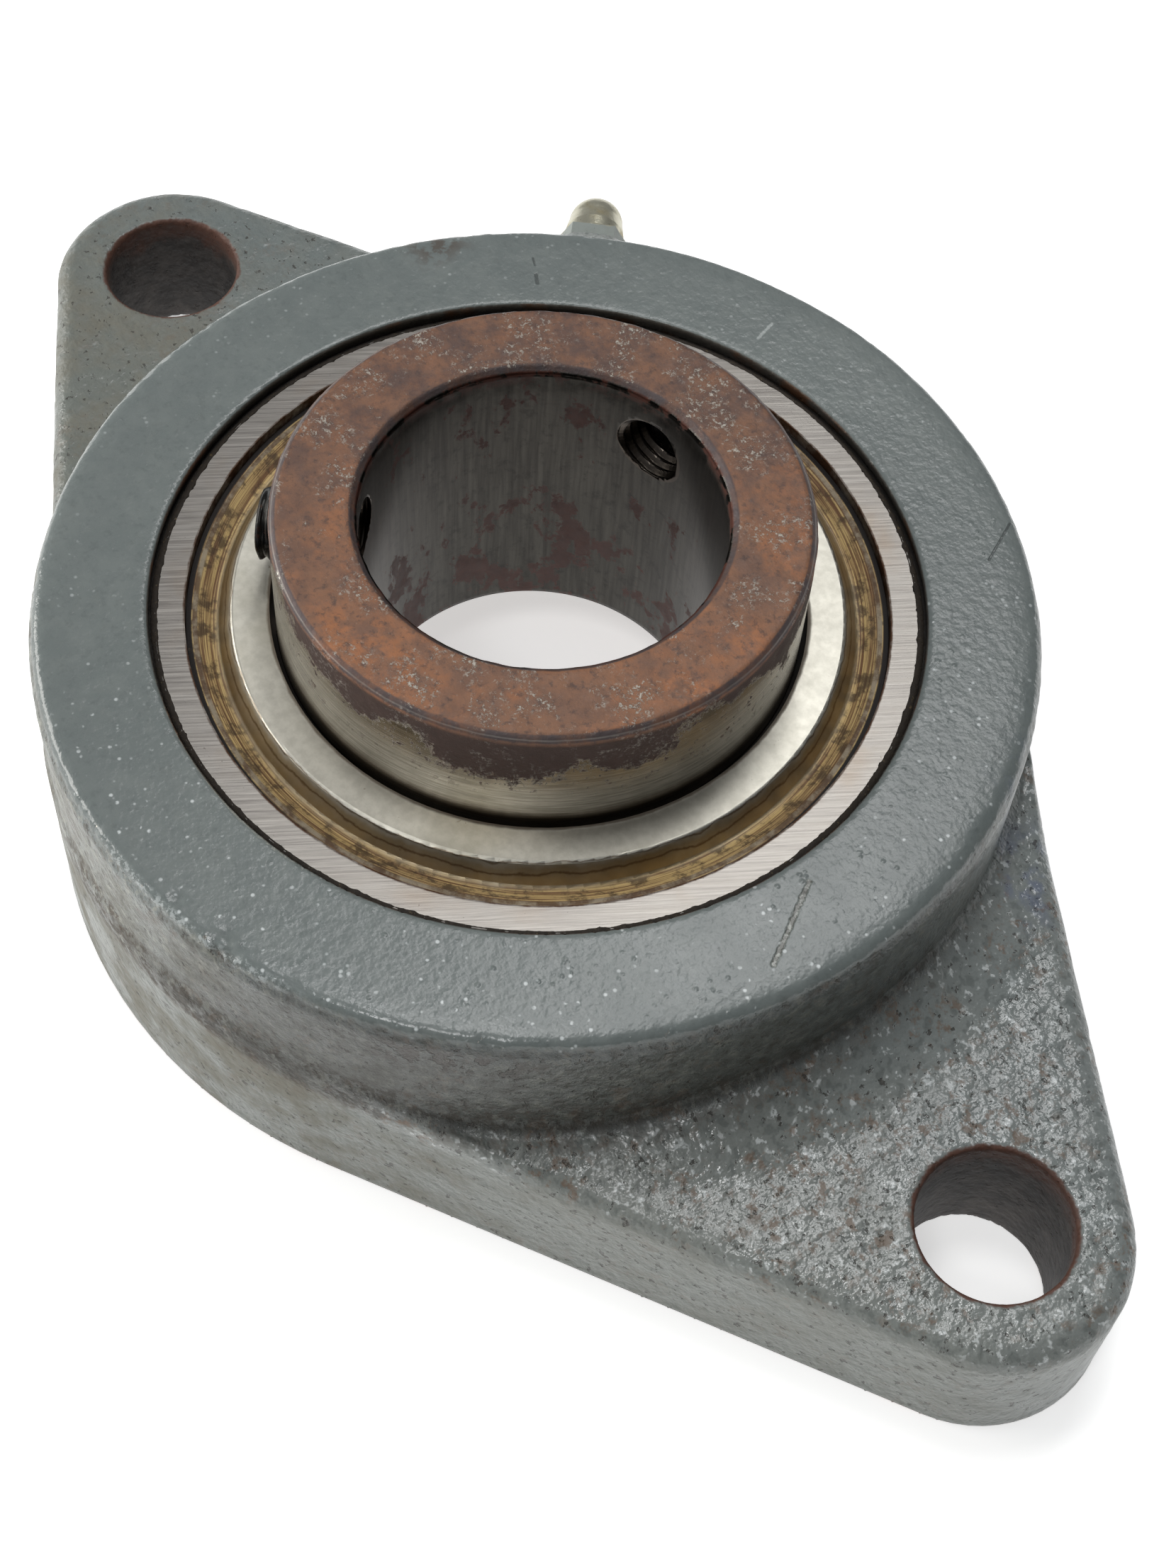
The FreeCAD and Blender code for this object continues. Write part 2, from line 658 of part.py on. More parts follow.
def sphere_feature(body, kind, name, radius):
    """A sphere on the pitch circle, added or taken away."""
    ball = body.newObject(f"PartDesign::{kind}Sphere", name)
    ball.AttachmentSupport = [(origin_plane(body, "XY_Plane"), "")]
    ball.MapMode = "FlatFace"
    bind(ball, "AttachmentOffset.Base.x", pitch_radius)
    bind(ball, "Radius", radius)
    document.recompute()
    return ball


def make_cage_half(label, upside_down):
    """One pressed half of the ribbon cage, with half a pocket over each ball."""
    body = new_body(label)
    inner, outer = pitch_radius - size("cage_band") / 2, pitch_radius + size("cage_band") / 2
    pocket_radius = ball_radius + size("pocket_play")
    dome_radius = cage_reach
    strip = new_sketch(body, "StripProfile", "XZ_Plane")
    outline(strip, [(inner, ZERO), (outer, ZERO), (outer, size("cage_sheet")), (inner, size("cage_sheet"))])
    turn_solid(body, "Strip", strip)
    dome = sphere_feature(body, "Additive", "Dome", dome_radius)
    repeat(body, dome, "Domes", size("ball_count"), as_size(360))
    hollow = sphere_feature(body, "Subtractive", "Hollow", pocket_radius)
    repeat(body, hollow, "Hollows", size("ball_count"), as_size(360))

    clear = dome_radius + margin
    wide = pitch_radius + clear
    trim = new_sketch(body, "TrimProfile", "XZ_Plane")
    outline(trim, [
        (ZERO, -clear), (wide, -clear), (wide, clear), (outer, clear),
        (outer, ZERO), (inner, ZERO), (inner, clear), (ZERO, clear),
    ])
    turn_away(body, "Trim", trim)

    hole = new_sketch(body, "RivetHoleCircle", "XY_Plane")
    half_step = as_size(180) / size("ball_count")
    hole_x, hole_y = pitch_radius * cosine(half_step), pitch_radius * sine(half_step)
    circle_at(hole, hole_x, hole_y, size("rivet_radius") + size("rivet_play"))
    deep = size("cage_sheet") + margin
    pocket = add(body, "Pocket", "RivetHole", hole, Type="Length", Length=deep, Reversed=True)
    repeat(body, pocket, "RivetHoles", size("ball_count"), as_size(360))
    place(body, seat_height, as_size(180) if upside_down else ZERO, Vector(1, 0, 0))
    return body


def make_rivets():
    """The rivets that hold the two cage halves together, one between each two balls."""
    sheet_t, head_h = size("cage_sheet"), size("rivet_head_height")
    rivets = []
    for number in range(int(size("ball_count").value)):
        angle = ball_angle(number) + as_size(180) / size("ball_count")
        x, y = pitch_radius * cosine(angle), pitch_radius * sine(angle)
        parts = []
        for name, radius, low, tall in (
            ("Shank", size("rivet_radius"), -sheet_t, sheet_t * 2),
            ("FrontHead", size("rivet_head_radius"), sheet_t, head_h),
            ("BackHead", size("rivet_head_radius"), -sheet_t - head_h, head_h),
        ):
            cylinder = document.addObject("Part::Cylinder", f"Rivet{number + 1}{name}")
            bind(cylinder, "Radius", radius)
            bind(cylinder, "Height", tall)
            place(cylinder, seat_height + low, x=x, y=y)
            parts.append(cylinder)
        rivet = document.addObject("Part::MultiFuse", f"Rivet{number + 1}")
        rivet.Shapes = parts
        rivets.append(rivet)
    group = document.addObject("Part::Compound", "cage_rivets")
    group.Label = "cage_rivets"
    group.Links = rivets
    return group


# Set screws, drawn along X from the shaft axis and then turned to their places

def make_set_screw(label, turn):
    body = new_body(label)
    outside = ring_radius + size("screw_stand_out")
    inside = outside - size("screw_length")
    radius = size("screw_radius") - size("screw_play")
    chamfer = size("screw_edge_chamfer")
    profile = new_sketch(body, "ScrewProfile", "XZ_Plane")
    outline(profile, [
        (inside + size("screw_cup_depth"), ZERO), (outside, ZERO), (outside, radius - chamfer),
        (outside - chamfer, radius), (inside + size("screw_point_length"), radius),
        (inside, size("screw_point_radius")),
    ])
    turn_solid(body, "Screw", profile, "H_Axis")
    socket = new_sketch(body, "SocketOutline", "YZ_Plane")
    bind(socket, "AttachmentOffset.Base.z", outside)
    hexagon(socket, size("screw_hex_width"))
    add(body, "Pocket", "Socket", socket, Type="Length", Length=size("screw_hex_depth"))
    place(body, screw_height, turn)
    return body


# Grease nipple, drawn along X in the same way

def nipple_places():
    """Distances from the shaft axis to the nipple's steps."""
    hex_end = nipple_seat + size("nipple_hex_thickness")
    tip = hex_end + size("nipple_head_length")
    mouth = tip - size("nipple_mouth_length")
    return hex_end, tip, mouth


def check_ball_centre():
    """The check ball rests against the edge of the mouth."""
    mouth = nipple_places()[2]
    return mouth - leg(size("check_ball_radius"), size("nipple_mouth_radius")) - size("check_gap")


def make_nipple():
    body = new_body("grease_nipple")
    hex_end, tip, mouth = nipple_places()
    shank = size("nipple_thread_radius")
    head = size("nipple_head_radius")
    round_end = size("nipple_tip_radius")
    round_centre = tip - leg(round_end, size("nipple_mouth_radius"))
    neck_end = hex_end + size("nipple_neck_length")
    chamber = size("nipple_chamber_radius")
    profile = new_sketch(body, "NippleProfile", "XZ_Plane")
    outline(profile, [
        (shank_start, chamber), (mouth, chamber), (mouth, size("nipple_mouth_radius")),
        (tip, size("nipple_mouth_radius")), (round_centre, round_end),
        (neck_end + size("nipple_head_rise"), head), (neck_end + size("nipple_head_edge"), head),
        (neck_end, size("nipple_neck_radius")), (hex_end, size("nipple_neck_radius")), (hex_end, shank),
        (shank_start, shank),
    ], {3: (round_centre, ZERO, round_end, True)})
    turn_solid(body, "Turned", profile, "H_Axis")
    hexa = new_sketch(body, "HexagonOutline", "YZ_Plane")
    bind(hexa, "AttachmentOffset.Base.z", nipple_seat)
    hexagon(hexa, size("nipple_hex_width"))
    circle_at(hexa, ZERO, ZERO, (shank + chamber) / 2)
    add(body, "Pad", "Hexagon", hexa, Type="Length", Length=size("nipple_hex_thickness"))
    place(body, nipple_height, size("nipple_azimuth"))
    return body


def along_nipple(reach):
    """X and Y of a point on the nipple's axis."""
    azimuth = size("nipple_azimuth")
    return reach * cosine(azimuth), reach * sine(azimuth)


def make_check_ball():
    ball = document.addObject("Part::Sphere", "nipple_check_ball")
    ball.Label = "nipple_check_ball"
    bind(ball, "Radius", size("check_ball_radius"))
    x, y = along_nipple(check_ball_centre())
    place(ball, nipple_height, x=x, y=y)
    return ball


def make_check_spring():
    """The small coil spring behind the check ball."""
    body = new_body("nipple_spring")
    wire = size("check_spring_wire") / 2
    to_ball = leg(size("check_ball_radius") + wire, size("check_spring_radius")) + size("check_gap")
    end = check_ball_centre() - to_ball
    start = shank_start + size("check_spring_wire")
    section = new_sketch(body, "WireSection", "XY_Plane")
    circle_at(section, start, size("check_spring_radius"), wire)
    coil = body.newObject("PartDesign::AdditiveHelix", "Coil")
    coil.Profile = section
    coil.ReferenceAxis = (section, ["H_Axis"])
    coil.Mode = "height-turns-angle"
    bind(coil, "Height", end - start)
    bind(coil, "Turns", size("check_spring_turns"))
    place(body, nipple_height, size("nipple_azimuth"))
    document.recompute()
    return body


def make_everything():
    parts = [make_housing(), make_nipple(), make_check_ball(), make_check_spring()]
    parts += [make_outer_ring(), make_inner_ring()]
    parts += [make_shield("front_shield", False), make_shield("back_shield", True)]
    parts += [make_seal("front_seal", False), make_seal("back_seal", True)]
    parts += [make_ball(number) for number in range(int(size("ball_count").value))]
    parts += [make_cage_half("cage_front", False), make_cage_half("cage_back", True), make_rivets()]
    parts.append(make_set_screw("set_screw_1", size("screw_azimuth")))
    parts.append(make_set_screw("set_screw_2", size("screw_azimuth") + size("screw_spread")))
    document.recompute()
    return parts


def check(parts):
    """Stop if any object failed or any sub-part is not a sound solid."""
    for thing in document.Objects:
        if any(word in thing.State for word in ("Invalid", "Error")):
            fail(f"{thing.Name} failed: {thing.State}")
    for part in parts:
        if part.Shape.isNull() or not part.Shape.isValid() or not part.Shape.Solids:
            fail(f"{part.Label} is not a sound solid")
        print(f"{part.Label:20s} {len(part.Shape.Solids):3d} solid {part.Shape.Volume:12.2f} mm3")


PARTS = make_everything()
check(PARTS)
os.makedirs("parts", exist_ok=True)
for part in PARTS:
    part.Shape.exportStep(f"parts/{part.Label}.step")
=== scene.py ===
"""Looks of a two-bolt flange bearing unit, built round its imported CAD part.

Lengths are millimetres in the part's own frame: the shaft axis is Z and the mounting face is
Z = 0. They become metres where a mesh is made. Floor, lights and clipping are stated in metres.
In the materials a bare number is a place or size in millimetres, or a share from 0 to 1.
"""

import math
from functools import reduce
from types import SimpleNamespace

import bmesh
import bpy
import numpy as np
from mathutils import Matrix, Vector, noise
from mathutils.bvhtree import BVHTree


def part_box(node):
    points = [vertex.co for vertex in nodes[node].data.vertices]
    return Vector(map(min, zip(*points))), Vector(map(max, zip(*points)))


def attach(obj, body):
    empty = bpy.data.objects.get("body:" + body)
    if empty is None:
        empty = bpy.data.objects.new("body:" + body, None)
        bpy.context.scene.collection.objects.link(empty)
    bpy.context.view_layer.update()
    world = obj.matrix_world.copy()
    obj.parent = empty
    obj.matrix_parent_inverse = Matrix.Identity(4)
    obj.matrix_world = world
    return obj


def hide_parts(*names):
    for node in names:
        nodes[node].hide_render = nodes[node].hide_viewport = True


MM = 0.001
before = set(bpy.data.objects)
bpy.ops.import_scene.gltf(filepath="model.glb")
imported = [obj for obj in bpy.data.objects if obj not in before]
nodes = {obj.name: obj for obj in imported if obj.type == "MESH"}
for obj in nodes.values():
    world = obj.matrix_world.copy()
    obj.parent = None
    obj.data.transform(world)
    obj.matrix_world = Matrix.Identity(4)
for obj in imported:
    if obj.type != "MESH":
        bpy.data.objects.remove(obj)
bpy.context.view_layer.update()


def reach(node, axis, high=True):
    """Where a CAD node ends along an axis."""
    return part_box(node)[1 if high else 0][axis] / MM


# Places taken from the frame

BOSS_TOP = reach("housing", 2)
RING_TOP = reach("inner_ring", 2)
RING_BOTTOM = reach("inner_ring", 2, high=False)
RING_RADIUS = reach("inner_ring", 0)
INSERT_TOP = reach("outer_ring", 2)
SEAT_RADIUS = reach("outer_ring", 0)
BALL_PLANE = (reach("outer_ring", 2) + reach("outer_ring", 2, high=False)) / 2
LUG_REACH = reach("housing", 0)

# Sizes of the solids that their boxes don't show

BORE_RADIUS = 15.875
RACE_RADIUS = 21.174
GROOVE_RADIUS = 5.723
RING_CHAMFER_IN = 0.7
RING_CHAMFER_OUT = 0.6
BOSS_RADIUS = 45.0
FLANGE_TOP = 14.8
FLANGE_END_RADIUS = 12.1
FLANGE_LEDGE = 0.35
ROOT_RADIUS = 4.5
BOLT_X = LUG_REACH - FLANGE_END_RADIUS
BOLT_HOLE_RADIUS = 6.75
MOUTH_RADIUS = 34.5
SCREW_HEIGHT = RING_TOP - 6.7
SCREW_AZIMUTHS = {"set_screw_1": 106.0, "set_screw_2": 226.0}
SCREW_HOLE_RADIUS = 3.45

# Threads, which the solids leave plain

THREAD_PITCH = 1.0
THREAD_DEPTH = 0.42
FLANK_SLOPE = 2.6
CREST_FLAT = 0.15

# Set screws: a cup point inside and a hexagon socket outside

SCREW_PLAY = 0.05
SCREW_LENGTH = 6.4
SCREW_STANDS_OUT = 1.35
SCREW_EDGE = 0.35
SCREW_POINT_RADIUS = 2.1
SCREW_POINT_LENGTH = 0.9
CUP_RADIUS = 1.7
CUP_DEPTH = 0.5
SOCKET_RADIUS = 2.0
SOCKET_DEPTH = 3.2

# The casting's skin

RIM_DROOP = 0.3
RIM_FADE = 3.6
CREASE_RUN = 8.0
CREASE_RISE = 0.9
CREASE_RISE_AT_LUG = 3.1
LUMP_DEPTH = 0.09
PEEL_DEPTH = 0.05
PIT_DEPTH = 0.06
WEAR_DEPTH = 0.07
CHIP_PLACE = (14.2, -42.0)
CHIP_DEPTH = 0.35
DIMPLE_PLACE = (8.39, -42.44)
DIMPLE_DEPTH = 0.3

# The dirt in the gap round the insert

GRIME_INNER = 33.75
GRIME_OUTER = 34.75

# How finely the meshes are drawn

CAST_VOXEL = 0.42
RING_SPACING = 0.45
GROOVE_STEPS = 14
GRIME_TURNS = 900
THREAD_ROWS = 8
THREAD_ANGLES = [2 * math.pi * index / 48 for index in range(48)]

# Scratches on the boss's top: start, end and half width

DARK_MARKS = (
    ((-33.2, 23.2), (-32.3, 22.8), 0.15),
    ((-31.3, 22.2), (-30.2, 21.6), 0.26),
    ((18.0, 40.0), (20.1, 35.5), 0.15),
)
SCUFF = ((36.7, 0.8), (41.0, -6.5), 0.34)
PALE_MARK = ((-13.3, 37.2), (-12.6, 34.9), 0.22)

# Degrees from +X to the ground face's grain

GRAIN_ANGLE = 58.0

# Studio in metres and watts: each light has a place, size, power and tint

FLOOR_SIZE = 12.0
FLOOR_DROP = 0.0002
FLOOR_ROUGHNESS = 0.85
FLOOR_GLOW = 0.55
WHITE = (1.0, 1.0, 1.0)
WORLD_COLOUR = (0.95, 0.97, 1.0, 1.0)
WORLD_FADE = {"From Min": -0.4, "From Max": 0.9, "To Min": 0.34, "To Max": 0.05}
LIGHTS = {
    "key": ((0.20, -0.40, 0.88), (0.20, 0.20), 1.6, WHITE),
    "ceiling": ((-0.15, 0.05, 0.95), (0.16, 0.16), 1.4, WHITE),
    "window": ((-0.24, 0.36, 0.85), (0.28, 0.28), 1.7, WHITE),
    "left_fill": ((-0.66, -0.56, 0.28), (0.6, 0.4), 5.2, (1.0, 0.98, 0.94)),
}

# Camera fitted to the photograph: angles in radians, its picture in pixels

PHOTO_WIDTH = 1659
PHOTO_HEIGHT = 2212
CAMERA_AZIMUTH = 0.872
CAMERA_ELEVATION = 0.974
CAMERA_ROLL = 0.078
CAMERA_PLACE = Vector((103.38, -82.20, 207.15))
FOCAL_PIXELS = 3516
MIDDLE_X = 806.56
MIDDLE_Y = 991.58
SENSOR = 36.0
CLIP_METRES = (0.01, 20)


# Helpers for materials

def colour(code):
    """Linear colour of a web colour code."""
    parts = [int(code[at:at + 2], 16) / 255 for at in (0, 2, 4)]
    linear = [c / 12.92 if c <= 0.04045 else ((c + 0.055) / 1.055) ** 2.4 for c in parts]
    return (*linear, 1.0)


class Finish:
    """A material that is being built: its shader and the helpers that feed it."""

    def __init__(self, name):
        self.material = bpy.data.materials.new(name)
        self.material.use_nodes = True
        self.tree = self.material.node_tree
        self.shader = self.tree.nodes["Principled BSDF"]
        here = self.node("ShaderNodeTexCoord").outputs["Object"]
        self.mm = self.vector("SCALE", {0: here, "Scale": 1 / MM})
        self.x, self.y, self.z = self.node("ShaderNodeSeparateXYZ", {0: self.mm}).outputs
        self.flat = self.node("ShaderNodeCombineXYZ", {0: self.x, 1: self.y}).outputs[0]
        self.radius = self.length(self.flat)

    def node(self, kind, feeds=None, **settings):
        made = self.tree.nodes.new(kind)
        for field, value in settings.items():
            setattr(made, field, value)
        for key, value in (feeds or {}).items():
            self.feed(made.inputs[key], value)
        return made

    def feed(self, socket, value):
        if isinstance(value, bpy.types.NodeSocket):
            self.tree.links.new(value, socket)
        else:
            socket.default_value = value

    def vector(self, operation, feeds):
        return self.node("ShaderNodeVectorMath", feeds, operation=operation).outputs[0]

    def length(self, vector):
        return self.node("ShaderNodeVectorMath", {0: vector}, operation="LENGTH").outputs["Value"]

    def calc(self, operation, a, b=0.0):
        return self.node("ShaderNodeMath", {0: a, 1: b}, operation=operation).outputs[0]

    def plus(self, a, b):
        return self.calc("ADD", a, b)

    def minus(self, a, b):
        return self.calc("SUBTRACT", a, b)

    def times(self, a, b):
        return self.calc("MULTIPLY", a, b)

    def both(self, *masks):
        """Product of masks."""
        return reduce(self.times, masks)

    def either(self, *masks):
        """Highest of masks."""
        return reduce(lambda a, b: self.calc("MAXIMUM", a, b), masks)

    def ramp(self, value, start, end, low=0.0, high=1.0):
        """A smooth step: low at start, high at end."""
        feeds = {"Value": value, "From Min": start, "From Max": end, "To Min": low, "To Max": high}
        return self.node("ShaderNodeMapRange", feeds, interpolation_type="SMOOTHSTEP").outputs[0]

    def band(self, value, start, end, soft):
        """1 between start and end, with soft ends."""
        rising = self.ramp(value, start - soft, start + soft)
        return self.both(rising, self.ramp(value, end - soft, end + soft, 1.0, 0.0))

    def level(self, factor, a, b):
        """Number a where factor is 0 and number b where it is 1."""
        return self.node("ShaderNodeMapRange", {"Value": factor, "To Min": a, "To Max": b}).outputs[0]

    def noise(self, size, detail=4.0, rough=0.55, warp=0.0, at=None, seed=0.0):
        """Fractal noise whose largest lumps are about size across."""
        feeds = {"Vector": self.shifted(at or self.mm, seed), "Scale": 1 / size}
        feeds.update({"Detail": detail, "Roughness": rough, "Distortion": warp})
        return self.node("ShaderNodeTexNoise", feeds).outputs[0]

    def patches(self, start, end, *pattern, **more):
        """Mask of noise: 0 where it is below start, 1 where it is above end."""
        return self.ramp(self.noise(*pattern, **more), start, end)

    def cells(self, size, seed):
        """Distance, in sizes, to the nearest of points scattered about a size apart."""
        feeds = {"Vector": self.shifted(self.mm, seed), "Scale": 1 / size}
        return self.node("ShaderNodeTexVoronoi", feeds, feature="F1").outputs["Distance"]

    def ragged(self, value, swing, size, detail=4.0, rough=0.55, seed=0.0):
        """The value, up to swing lower or higher by noise."""
        return self.plus(value, self.level(self.noise(size, detail, rough, seed=seed), -swing, swing))

    def shifted(self, place, seed):
        if not seed:
            return place
        return self.vector("ADD", {0: place, 1: (seed, -seed, seed * 2)})

    def stretched(self, x, y, z):
        """The place, scaled along each axis."""
        return self.vector("MULTIPLY", {0: self.mm, 1: (x, y, z)})

    def turned(self, degrees, x, y, z=1.0):
        """The place in axes turned about Z, then scaled along each of them."""
        turn = (0.0, 0.0, math.radians(degrees))
        feeds = {"Vector": self.mm, "Rotation": turn, "Scale": (1 / x, 1 / y, 1 / z)}
        return self.node("ShaderNodeMapping", feeds, vector_type="TEXTURE").outputs[0]

    def around(self, across, along):
        """The place as distance from the shaft axis, arc round it and height, the first two scaled."""
        outwards = self.times(self.radius, across)
        arc = self.times(self.calc("ARCTAN2", self.y, self.x), SEAT_RADIUS * along)
        return self.node("ShaderNodeCombineXYZ", {0: outwards, 1: arc, 2: self.z}).outputs[0]

    def blend(self, factor, a, b):
        """Colour a where factor is 0 and colour b where it is 1."""
        made = self.node("ShaderNodeMix", {0: factor}, data_type="RGBA")
        self.feed(made.inputs[6], a)
        self.feed(made.inputs[7], b)
        return made.outputs[2]

    def mix(self, factor, code_a, code_b):
        return self.blend(factor, colour(code_a), colour(code_b))

    def over(self, base, mask, code, share=1.0):
        """Base with a share of a colour laid over it where the mask is 1."""
        if share != 1.0:
            mask = self.times(mask, share)
        return self.blend(mask, base, colour(code))

    def stroke(self, start, end, width):
        """Mask of a ragged scratch between two points seen from above, a width to each side."""
        along = (end[0] - start[0], end[1] - start[1], 0.0)
        offset = self.vector("SUBTRACT", {0: self.flat, 1: (*start, 0.0)})
        product = self.node("ShaderNodeVectorMath", {0: offset, 1: along}, operation="DOT_PRODUCT")
        share = self.calc("DIVIDE", product.outputs["Value"], along[0] ** 2 + along[1] ** 2)
        share = self.node("ShaderNodeClamp", {0: share}).outputs[0]
        foot = self.vector("SCALE", {0: along, "Scale": share})
        away = self.length(self.vector("SUBTRACT", {0: offset, 1: foot}))
        return self.ramp(self.ragged(away, width * 0.6, 0.5), width, width * 0.3)

    def bump(self, height, strength=1.0):
        """Bump from a height in millimetres."""
        feeds = {"Height": height, "Strength": strength, "Distance": MM}
        return self.node("ShaderNodeBump", feeds).outputs[0]

    def finish(self, base, rough, metal=0.0, normal=None, **more):
        feeds = {"Base Color": base, "Roughness": rough, "Metallic": metal, **more}
        if normal is not None:
            feeds["Normal"] = normal
        for key, value in feeds.items():
            self.feed(self.shader.inputs[key], value)
        return self.material


# Materials

def paint_places(f):
    """Masks and noises that several layers of the casting's paint share."""
    on_top = f.ramp(f.z, BOSS_TOP - 1.4, BOSS_TOP - 0.3)
    off_top = f.minus(1.0, on_top)
    by_boss = f.ramp(f.radius, BOSS_RADIUS + 1.4, BOSS_RADIUS + 0.7)
    above_flange = f.ramp(f.z, FLANGE_TOP - 0.5, FLANGE_TOP + 1.5)
    lug_top = f.ramp(f.z, FLANGE_TOP - 2.0, FLANGE_TOP - 0.8)
    rim_height = f.band(f.z, BOSS_TOP - 0.9, BOSS_TOP, 0.3)
    return SimpleNamespace(
        on_top=on_top,
        off_top=off_top,
        near_side=f.both(f.ramp(f.y, 10, -14), f.ramp(f.x, -14, -2)),
        on_wall=f.both(by_boss, off_top, f.ramp(f.y, 24, 6), above_flange),
        near_lug=f.both(f.ramp(f.radius, 45.2, 46), off_top, f.ramp(f.x, 2, 22), lug_top),
        sand=f.noise(1.3, 5, 0.72, seed=37),
        peel=f.noise(1.05, 2, 0.5, seed=91),
        rim=f.both(f.band(f.radius, BOSS_RADIUS - 1.1, BOSS_RADIUS + 0.3, 0.35), rim_height),
        front_rim=f.ramp(f.y, -10, -36),
    )


def paint_tones(f):
    """Slow and fine changes of the grey."""
    paint = f.mix(f.noise(38, 3), "646c6b", "747b79")
    paint = f.over(paint, f.patches(0.35, 0.7, 2.2, 5, 0.6), "808683", 0.3)
    return f.over(paint, f.patches(0.5, 0.75, 0.7, 3, 0.6, seed=2), "565d5c", 0.35)


def paint_dirt(f, at, paint):
    """A warm film and brown dirt on the sides."""
    front_left = f.ramp(f.plus(f.times(f.x, 0.35), f.y), -8, -34)
    low = f.ramp(f.z, BOSS_TOP - 2, FLANGE_TOP - 6)
    grime = f.both(f.patches(0.38, 0.66, 7, 6, 0.66, seed=5), at.off_top)
    dirt = f.both(grime, f.level(front_left, 0.3, 1.0), f.level(low, 0.6, 1.0))
    warm = f.both(at.off_top, f.ramp(f.y, 4, -12), f.ramp(f.z, BOSS_TOP - 1, BOSS_TOP - 4))
    paint = f.over(paint, warm, "716b55", 0.22)
    return f.over(paint, dirt, "6c6553", 0.6), dirt


def paint_crease(f, at, paint):
    """Brown crust in the crease at the boss's foot, and a dark line."""
    at_foot = f.band(f.radius, BOSS_RADIUS - 0.8, BOSS_RADIUS + 2.0, 0.8)
    crust = f.both(at_foot, f.band(f.z, 14.2, 19.4, 1.0), f.level(at.near_side, 0.12, 0.9))
    crust = f.both(crust, f.patches(0.42, 0.58, 1.3, 5, 0.72, seed=11))
    paint = f.over(paint, crust, "463725")
    line = f.band(f.radius, BOSS_RADIUS + 0.2, BOSS_RADIUS + 0.75, 0.14)
    line = f.both(line, f.band(f.z, 14.4, 18.8, 0.4), at.near_side)
    line = f.both(line, f.level(f.noise(1.1, 4, 0.7, seed=13), 0.2, 1.2))
    return f.over(paint, line, "2b2721", 0.75), crust


def paint_sand_and_shade(f, at, paint):
    """The boss's wall: a sandy skin, and painted shade that darkens it towards +X."""
    paint = f.over(paint, f.both(at.on_wall, f.ramp(at.sand, 0.5, 0.6, 0.0, 0.75)), "4e4a3f")
    paint = f.over(paint, f.both(at.on_wall, f.ramp(at.sand, 0.47, 0.38, 0.0, 0.7)), "939489")
    # Painted shade: the wall is darkened towards +X.
    shaded = f.both(at.on_wall, f.ramp(f.minus(f.x, f.times(f.z, 0.6)), -14, 6))
    return f.over(paint, shaded, "2a2c2a", 0.62)


def paint_lug_light_and_shade(f, at, paint):
    """The lug's top made paler as painted light, with painted glints on the peel's tips and painted
    shade in its troughs.
    """
    # Painted light: the lug's top is made paler.
    paint = f.over(paint, at.near_lug, "959a98", 0.4)
    tips = f.both(f.ramp(at.peel, 0.54, 0.66), f.patches(0.48, 0.6, 0.5, 2, 0.5, seed=94))
    # Painted glints: pale colour on the tips of the orange peel.
    glints = f.both(tips, at.near_lug, f.patches(0.3, 0.54, 6, 3, seed=95))
    paint = f.over(paint, glints, "e2e7e7", 0.6)
    # Painted shade: the troughs of the orange peel are darkened.
    painted_trough_shade = f.both(f.ramp(at.peel, 0.46, 0.34), at.near_lug, f.level(at.on_top, 0.4, 0.0))
    return f.over(paint, painted_trough_shade, "4d5351")


def paint_specks(f, at, paint):
    """Clusters of rust specks, and small pits."""
    clusters = f.patches(0.4, 0.58, 7, 3, seed=23)
    specks = f.both(f.patches(0.52, 0.62, 1.5, 5, 0.75, seed=21), clusters)
    specks = f.both(specks, f.level(at.near_lug, 0.2, 0.65), f.level(at.on_top, 1.0, 0.1))
    paint = f.over(paint, specks, "6b523c")
    pits = f.both(f.patches(0.61, 0.69, 0.8, 3, 0.6, seed=31), f.level(at.off_top, 0.04, 1.0))
    return f.over(paint, pits, "35302a", 0.75), specks, pits


def paint_top_glints(f, at, paint):
    """Painted glints: small pale specks on the boss's top, more of them towards +X and -Y."""
    share = f.level(f.ramp(f.minus(f.x, f.times(f.y, 0.6)), -12, 26), 0.3, 1.0)
    painted_top_glints = f.both(f.ramp(f.cells(0.9, seed=95), 0.26, 0.1), f.patches(0.49, 0.57, 1.5, 2, seed=99))
    painted_top_glints = f.both(painted_top_glints, at.on_top, share, f.patches(0.38, 0.56, 8, 3, seed=98))
    # Painted glints laid on as pale colour.
    return f.over(paint, painted_top_glints, "dfe5e5", 0.75)


def paint_spots(f, at, paint):
    """Cavities in the wall, a blue smear and a brown spot."""
    pitted = f.both(f.band(f.x, 27, 36, 2), f.ramp(f.y, -24, -28), f.band(f.z, 24.8, 28.2, 0.6))
    cavities = f.both(at.on_wall, pitted, f.patches(0.5, 0.56, 1.7, 3, 0.6, seed=35))
    paint = f.over(paint, cavities, "2f261d", 0.8)
    smear = f.both(f.band(f.x, 38, 46, 3), f.band(f.y, 21, 28, 2.5))
    paint = f.over(paint, f.both(smear, f.patches(0.45, 0.6, 3, seed=9)), "56628a", 0.4)
    spot = f.both(f.band(f.x, -42.5, -38, 1.4), f.band(f.y, 14, 19, 1.6), f.level(at.on_top, 0.0, 0.7))
    return f.over(paint, f.both(spot, f.patches(0.42, 0.56, 1.2, seed=3)), "4f4238"), cavities


